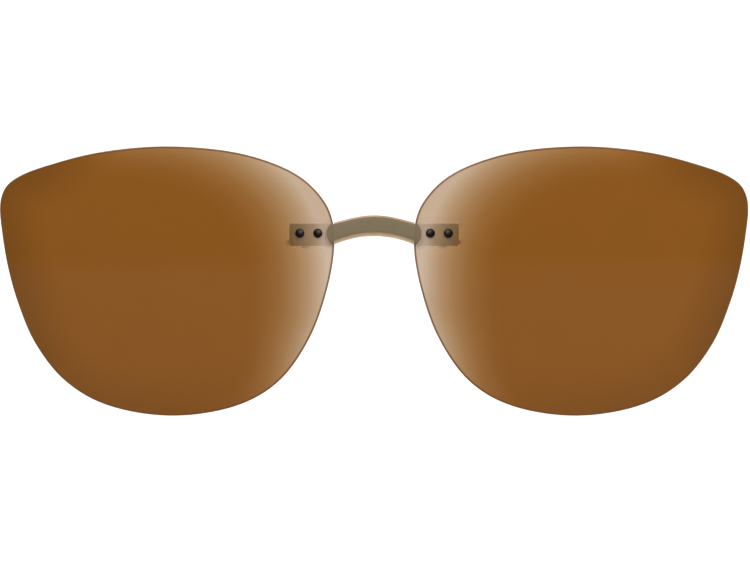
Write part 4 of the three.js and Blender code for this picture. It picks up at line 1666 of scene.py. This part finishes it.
@dataclass
class Hook:
    """Where a claw's hook is: its x and z, its tip's z, and the sleeve's sizes.

    Attributes:
        x: the hook's distance from the middle.
        z: the height at which its wire goes back over the spectacles.
        tip: the height of the wire's end.
        back: how far behind the pad's face the hook stands.
        wire_y: the plane in which the wires leave the body.
        turn: how far from its corner a bend starts.
        sleeve: the sleeve's outer and inner radius.
        sleeve_start: where the sleeve starts, in y.
        past: how far the sleeve goes past the wire's end.
    """

    x: float
    z: float
    tip: float
    back: float = 5.2
    wire_y: float = -2.5
    turn: float = 0.35
    sleeve: Pair = (0.75, 0.5)
    sleeve_start: float = 0.3
    past: float = 0.5

    @property
    def down(self) -> float:
        """Which way the tip points: 1 up, -1 down."""
        return math.copysign(1, self.tip - self.z)

    def points(self, side: Side) -> list[Triple]:
        """The points of the hook's centre line."""
        x = side.value * self.x
        return [
            (x, self.wire_y + 1.5, self.z),
            (x, self.back - 3, self.z),
            (x, self.back - 1, self.z),
            (x, self.back - self.turn, self.z + self.down * self.turn),
            (x, self.back, self.z + self.down),
            (x, self.back, self.tip),
        ]

    def wire_line(self, side: Side, flat: Sequence[Triple], per_span: int) -> np.ndarray:
        """A wire's centre line: points up to the hook, given for the right side, and then the hook."""
        start = [(side.value * x, y, z) for x, y, z in flat]
        return spline(np.array(start + self.points(side)), False, per_span)

    def sleeve_line(self, side: Side) -> np.ndarray:
        """The sleeve's centre line."""
        x = side.value * self.x
        end = self.tip + self.down * self.past
        points = [(x, self.sleeve_start, self.z), *self.points(side)[1:], (x, self.back, end)]
        return spline(np.array(points), False, 10)

    def sleeve_tube(self, side: Side, name: str, node: str, body: str) -> bpy.types.Object:
        """A sleeve: a tube that is open where the wire goes in, with a rolled lip there, faint ribs along
        it, and a round closed end. The radius follows r = R + 0.012 cos(6 s) along the tube.
        """
        line = self.sleeve_line(side)
        length = length_of(line)
        outer, inner = self.sleeve
        s = np.linspace(0.1, length - outer, 40)
        skin = np.column_stack([s, outer - 0.015 - 0.012 * np.cos(6 * s)])
        turn = quarter(0, 1, 8)
        end = np.column_stack([length - outer + outer * np.sin(turn), outer * np.cos(turn)])[1:-1]
        lip = np.array([[0.0, inner + 0.04], [0.0, outer - 0.08], [0.03, outer - 0.02]])
        hollow = np.column_stack([np.linspace(length - outer * 0.8, 0.05, 30), np.full(30, inner)])
        deep = np.array([[length - outer * 0.5, 0.02], [length - outer * 0.55, inner - 0.15]])
        profile = np.concatenate([deep, hollow, lip, skin, end, [[length, 0.02]]])
        made = turned(name, line, profile, 28)
        return dress(made, body, [node], "silicone", Finish.SILICONE)


@dataclass
class UpperClaw:
    """A fixed upper claw: a wire from between the plates, out behind the tab and back over the rim.

    Attributes:
        side: which claw it is.
        hook: its hook.
        root: where its wire starts, in x and z.
        wire: its wire's radius.
        plate_half: half the width of the plates that hold it.
    """

    side: Side
    hook: Hook = field(default_factory=lambda: Hook(12.0, 1.0, -2.4))
    root: Pair = (2.95, 1.6)
    wire: float = WIRE_RADIUS
    plate_half: float = PLATE_HALF

    def build(self) -> list[bpy.types.Object]:
        """Makes the wire and its sleeve."""
        side, hook = self.side, self.hook
        y, (root_x, root_z) = hook.wire_y, self.root
        flat = [
            (root_x, y, root_z),
            (self.plate_half - 0.3, y, root_z - 0.05),
            (self.plate_half + 1.8, y, hook.z + 0.1),
            (hook.x - 1.4, y, hook.z),
            (hook.x - 0.35, y + 0.35, hook.z),
        ]
        line = hook.wire_line(side, flat, 10)
        wire = wire_along(f"{side.word}_upper_wire", line, self.wire, WIRE_END, WIRE_COLUMNS)
        name = f"{side.word}_upper"
        return [
            dress(wire, "clip_body", [f"{name}_claw"], "steel", Finish.STEEL),
            hook.sleeve_tube(side, f"{name}_soft_sleeve", f"{name}_sleeve", "clip_body"),
        ]


@dataclass
class LowerArm:
    """A sprung lower arm: an eye on its pivot screw, with a wire down behind the lens to its hook.

    Attributes:
        side: which arm it is.
        hook: its hook.
        pivot: the pivot's x and z.
        wire: its wire's radius.
        eye: the eye's radius, hole, front and back.
        screw: the pivot screw's shank and head radius, head front, head back and end.
        spring: the coil's radius, the wire's radius, the coil's front and back, its turns and its legs.
    """

    side: Side
    hook: Hook = field(default_factory=lambda: Hook(21.0, -24.0, -20.4))
    pivot: Pair = PIVOT
    wire: float = WIRE_RADIUS
    eye: tuple[float, float, float, float] = (0.95, 0.5, -2.85, -2.15)
    screw: tuple[float, float, float, float, float] = (0.42, 0.72, -3.98, -3.68, -0.9)
    spring: tuple[float, float, float, float, float, float] = (0.7, 0.1, -1.97, -1.63, 1.25, 0.9)

    @property
    def pivot_at(self) -> Pair:
        """The pivot's x and z on this side."""
        return self.side.value * self.pivot[0], self.pivot[1]

    def centre_line(self) -> np.ndarray:
        """The wire's centre line."""
        hook = self.hook
        y, (x, z) = hook.wire_y, self.pivot
        flat = [
            (x + 0.7, y, z - 0.25), (7.5, y, -1.0), (13.5, y, -1.3), (17.5, y, -2.2), (20.0, y, -5.0),
            (hook.x, y, -10.0), (hook.x, y, -16.0), (hook.x, y, hook.z + 1.4),
            (hook.x, y + 0.35, hook.z + 0.35),
        ]
        return hook.wire_line(self.side, flat, 12)

    def arm(self) -> bpy.types.Object:
        """The eye and the wire, as one piece with a hole for the screw."""
        word = self.side.word
        made = wire_along(f"{word}_sprung_arm", self.centre_line(), self.wire, WIRE_END, WIRE_COLUMNS)
        radius, hole, front, back = self.eye
        x, z = self.pivot_at
        eye = turned("eye", across(x, z, front, back), rod_profile(back - front, radius, 0.09), 40)
        combine(made, Cut.JOIN, eye)
        combine(made, Cut.REMOVE, drill(*across(x, z, front - 1, back + 1), hole))
        return dress(made, f"{word}_arm", [f"{word}_lower_arm"], "steel", Finish.STEEL)

    def pivot_screw(self) -> bpy.types.Object:
        """The pivot screw, with a slotted head in front of the front plate."""
        shank, head, head_front, head_back, end = self.screw
        x, z = self.pivot_at
        thick, length = head_back - head_front, end - head_front
        ease = 0.1
        turn = quarter(0, 1)
        crown = np.column_stack([ease * (1 - np.cos(turn)), head - ease + ease * np.sin(turn)])
        rest = np.array([
            [thick - 0.03, head], [thick, head - 0.03], [thick, shank],
            [length - 0.06, shank], [length, shank - 0.06],
        ])
        name, profile = f"{self.side.word}_arm_pivot_screw", np.concatenate([crown, rest])
        made = turned(name, across(x, z, head_front, end), profile, 40)
        reach, half_width, depth, past = 1, 0.08, 0.13, 0.2
        slot = rectangle(x - reach, x + reach, z - half_width, z + half_width)
        combine(made, Cut.REMOVE, slab("slot", slot, head_front - past, head_front + depth, 0.0))
        return dress(made, "clip_body", [f"{self.side.word}_pivot_screw"], "steel", Finish.TURNED)

    def spring_wire(self) -> bpy.types.Object:
        """The torsion spring: a helix about the pivot, x = c cos a, z = c sin a, that goes back evenly as
        it turns, with one leg out along the arm and one in to the spacer.
        """
        coil, wire, front, back, turns, leg = self.spring
        sign, (x, z) = self.side.value, self.pivot_at
        share = np.linspace(0, 1, 49)
        angle = 2 * math.pi * turns * share
        depth = front + (back - front) * share
        helix = np.column_stack([sign * coil * np.cos(angle), depth, coil * np.sin(angle)])
        outer_leg, inner_leg = [(sign * coil, front, -leg)], [(-sign * leg * 0.9, back, coil)]
        line = spline(np.concatenate([outer_leg, helix, inner_leg]) + np.array([x, 0, z]), False, 4)
        made = wire_along(f"{self.side.word}_arm_spring", line, wire, 0.03, 12)
        nodes = [f"{self.side.word}_torsion_spring"]
        return dress(made, "clip_body", nodes, "spring_steel", Finish.SPRING)

    def build(self) -> list[bpy.types.Object]:
        """Makes the arm, its sleeve, its screw and its spring."""
        word = self.side.word
        name, node = f"{word}_lower_soft_sleeve", f"{word}_lower_sleeve"
        return [
            self.arm(),
            self.hook.sleeve_tube(self.side, name, node, f"{word}_arm"),
            self.pivot_screw(),
            self.spring_wire(),
        ]


# ---------------------------------------------------------------- studio


@dataclass
class Studio:
    """A pale sweep of floor and wall, soft lights, and the camera straight in front.

    Attributes:
        aim: what the camera looks at, in millimetres.
        width: how much of the object's width fills the picture, in millimetres.
        lens: the camera's focal length.
        sensor: its sensor's width.
        drop: how far the floor is under the object.
        front: how far forward the floor starts.
        reach: how far back the floor goes before it bends.
        bend: the radius of the bend into the wall.
        up: how high the wall is.
        half: half the width of the floor.
        lights: each light's name, place, target, size and power in watts.
        world: the strength of the plain world.
    """

    aim: Triple = (0.16, -7.5, -8.19)
    width: float = 130.0
    lens: float = 420.0
    sensor: float = 36.0
    drop: float = 45.0
    front: float = -2500.0
    reach: float = 2200.0
    bend: float = 800.0
    up: float = 3500.0
    half: float = 6000.0
    lights: tuple[tuple[str, Triple, Triple, float, float], ...] = (
        ("key", (-500, -900, 1300), (0, 0, 0), 700, 12.2),
        ("fill", (700, -900, 1000), (0, 0, 0), 700, 9.1),
        ("wall", (0, 1300, 2000), (0, 2300, 0), 2000, 50.0),
    )
    world: float = 0.3

    def camera(self) -> None:
        """A long lens straight in front, at the distance at which it takes in the given width."""
        data = bpy.data.cameras.new("camera")
        data.lens = self.lens
        data.sensor_width = self.sensor
        away = self.width * self.lens / self.sensor
        data.clip_start, data.clip_end = 0.01, 20.0
        camera = new_object("camera", data)
        x, y, z = self.aim
        camera.location = Vector((x, y - away, z)) * MM
        camera.rotation_euler = (math.pi / 2, 0, 0)
        bpy.context.scene.camera = camera

    def sweep(self) -> bpy.types.Object:
        """The floor and wall in one: a line back along the floor, a quarter circle, and a line up."""
        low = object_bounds()[0][2] / MM - self.drop
        turn = quarter(0, 1, 24)
        back, height = self.reach + self.bend * np.sin(turn), low + self.bend * (1 - np.cos(turn))
        curve = np.column_stack([back, height])
        line = np.concatenate([[(self.front, low)], curve, [(self.reach + self.bend, self.up)]])
        sides = (np.column_stack([np.full(len(line), x), line]) for x in (-self.half, self.half))
        grid = np.stack(list(sides), axis=1)
        rows = np.arange(len(line) - 1) * 2
        faces = np.stack([rows, rows + 1, rows + 3, rows + 2], axis=1)
        made = new_mesh("studio_sweep", grid.reshape(-1, 3), faces.tolist())
        shade_smooth(made)
        graph = Graph("studio_paper")
        fibres = graph.noise(3.0, 4.0)
        _, y, _ = graph.axes()
        # painted shade: the paper is darker towards the front, standing for less light falling there
        grey, white = (0.5, 0.5, 0.5), (0.93, 0.93, 0.93)
        painted_shade_tone = graph.mix(y.ramp(-120.0, 80.0), grey, white)
        paper = graph.coated({
            "Base Color": graph.vector("SCALE", painted_shade_tone, fibres * 0.03 + 0.97),
            "Roughness": 0.9,
            "Specular IOR Level": 0.0,
        })
        made.data.materials.append(paper)
        made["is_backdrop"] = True
        return made

    def light(self, name: str, place: Triple, target: Triple, size: float, power: float) -> None:
        """A soft square light, with its place, target and size in millimetres and its power in watts."""
        data = bpy.data.lights.new(name, "AREA")
        data.shape = "SQUARE"
        data.size = size * MM
        data.energy = power
        lamp = new_object(name, data)
        lamp.location = Vector(place) * MM
        lamp.rotation_euler = (Vector(target) - Vector(place)).to_track_quat("-Z", "Y").to_euler()

    def build(self) -> None:
        """Makes the camera, the sweep, the lights and the plain world."""
        self.camera()
        self.sweep()
        for light in self.lights:
            self.light(*light)
        world = bpy.data.worlds.new("world")
        world.use_nodes = True
        background = world.node_tree.nodes["Background"].inputs
        background["Color"].default_value = (1, 1, 1, 1)
        background["Strength"].default_value = self.world
        scene = bpy.context.scene
        scene.world = world
        scene.view_settings.view_transform = "Standard"


def main() -> None:
    """Builds every sub-assembly in order."""
    Studio().build()
    assemblies = [BridgeBar()]
    for side in Side:
        assemblies += [Lens(side), LensFixing(side), UpperClaw(side), LowerArm(side)]
    assemblies += [FlipHinge(), ClipBody()]
    for assembly in assemblies:
        built = assembly.build()
        count = len(built) if isinstance(built, list) else 1
        log.info("%s: %d pieces", type(assembly).__name__, count)


if __name__ == "__main__":
    main()
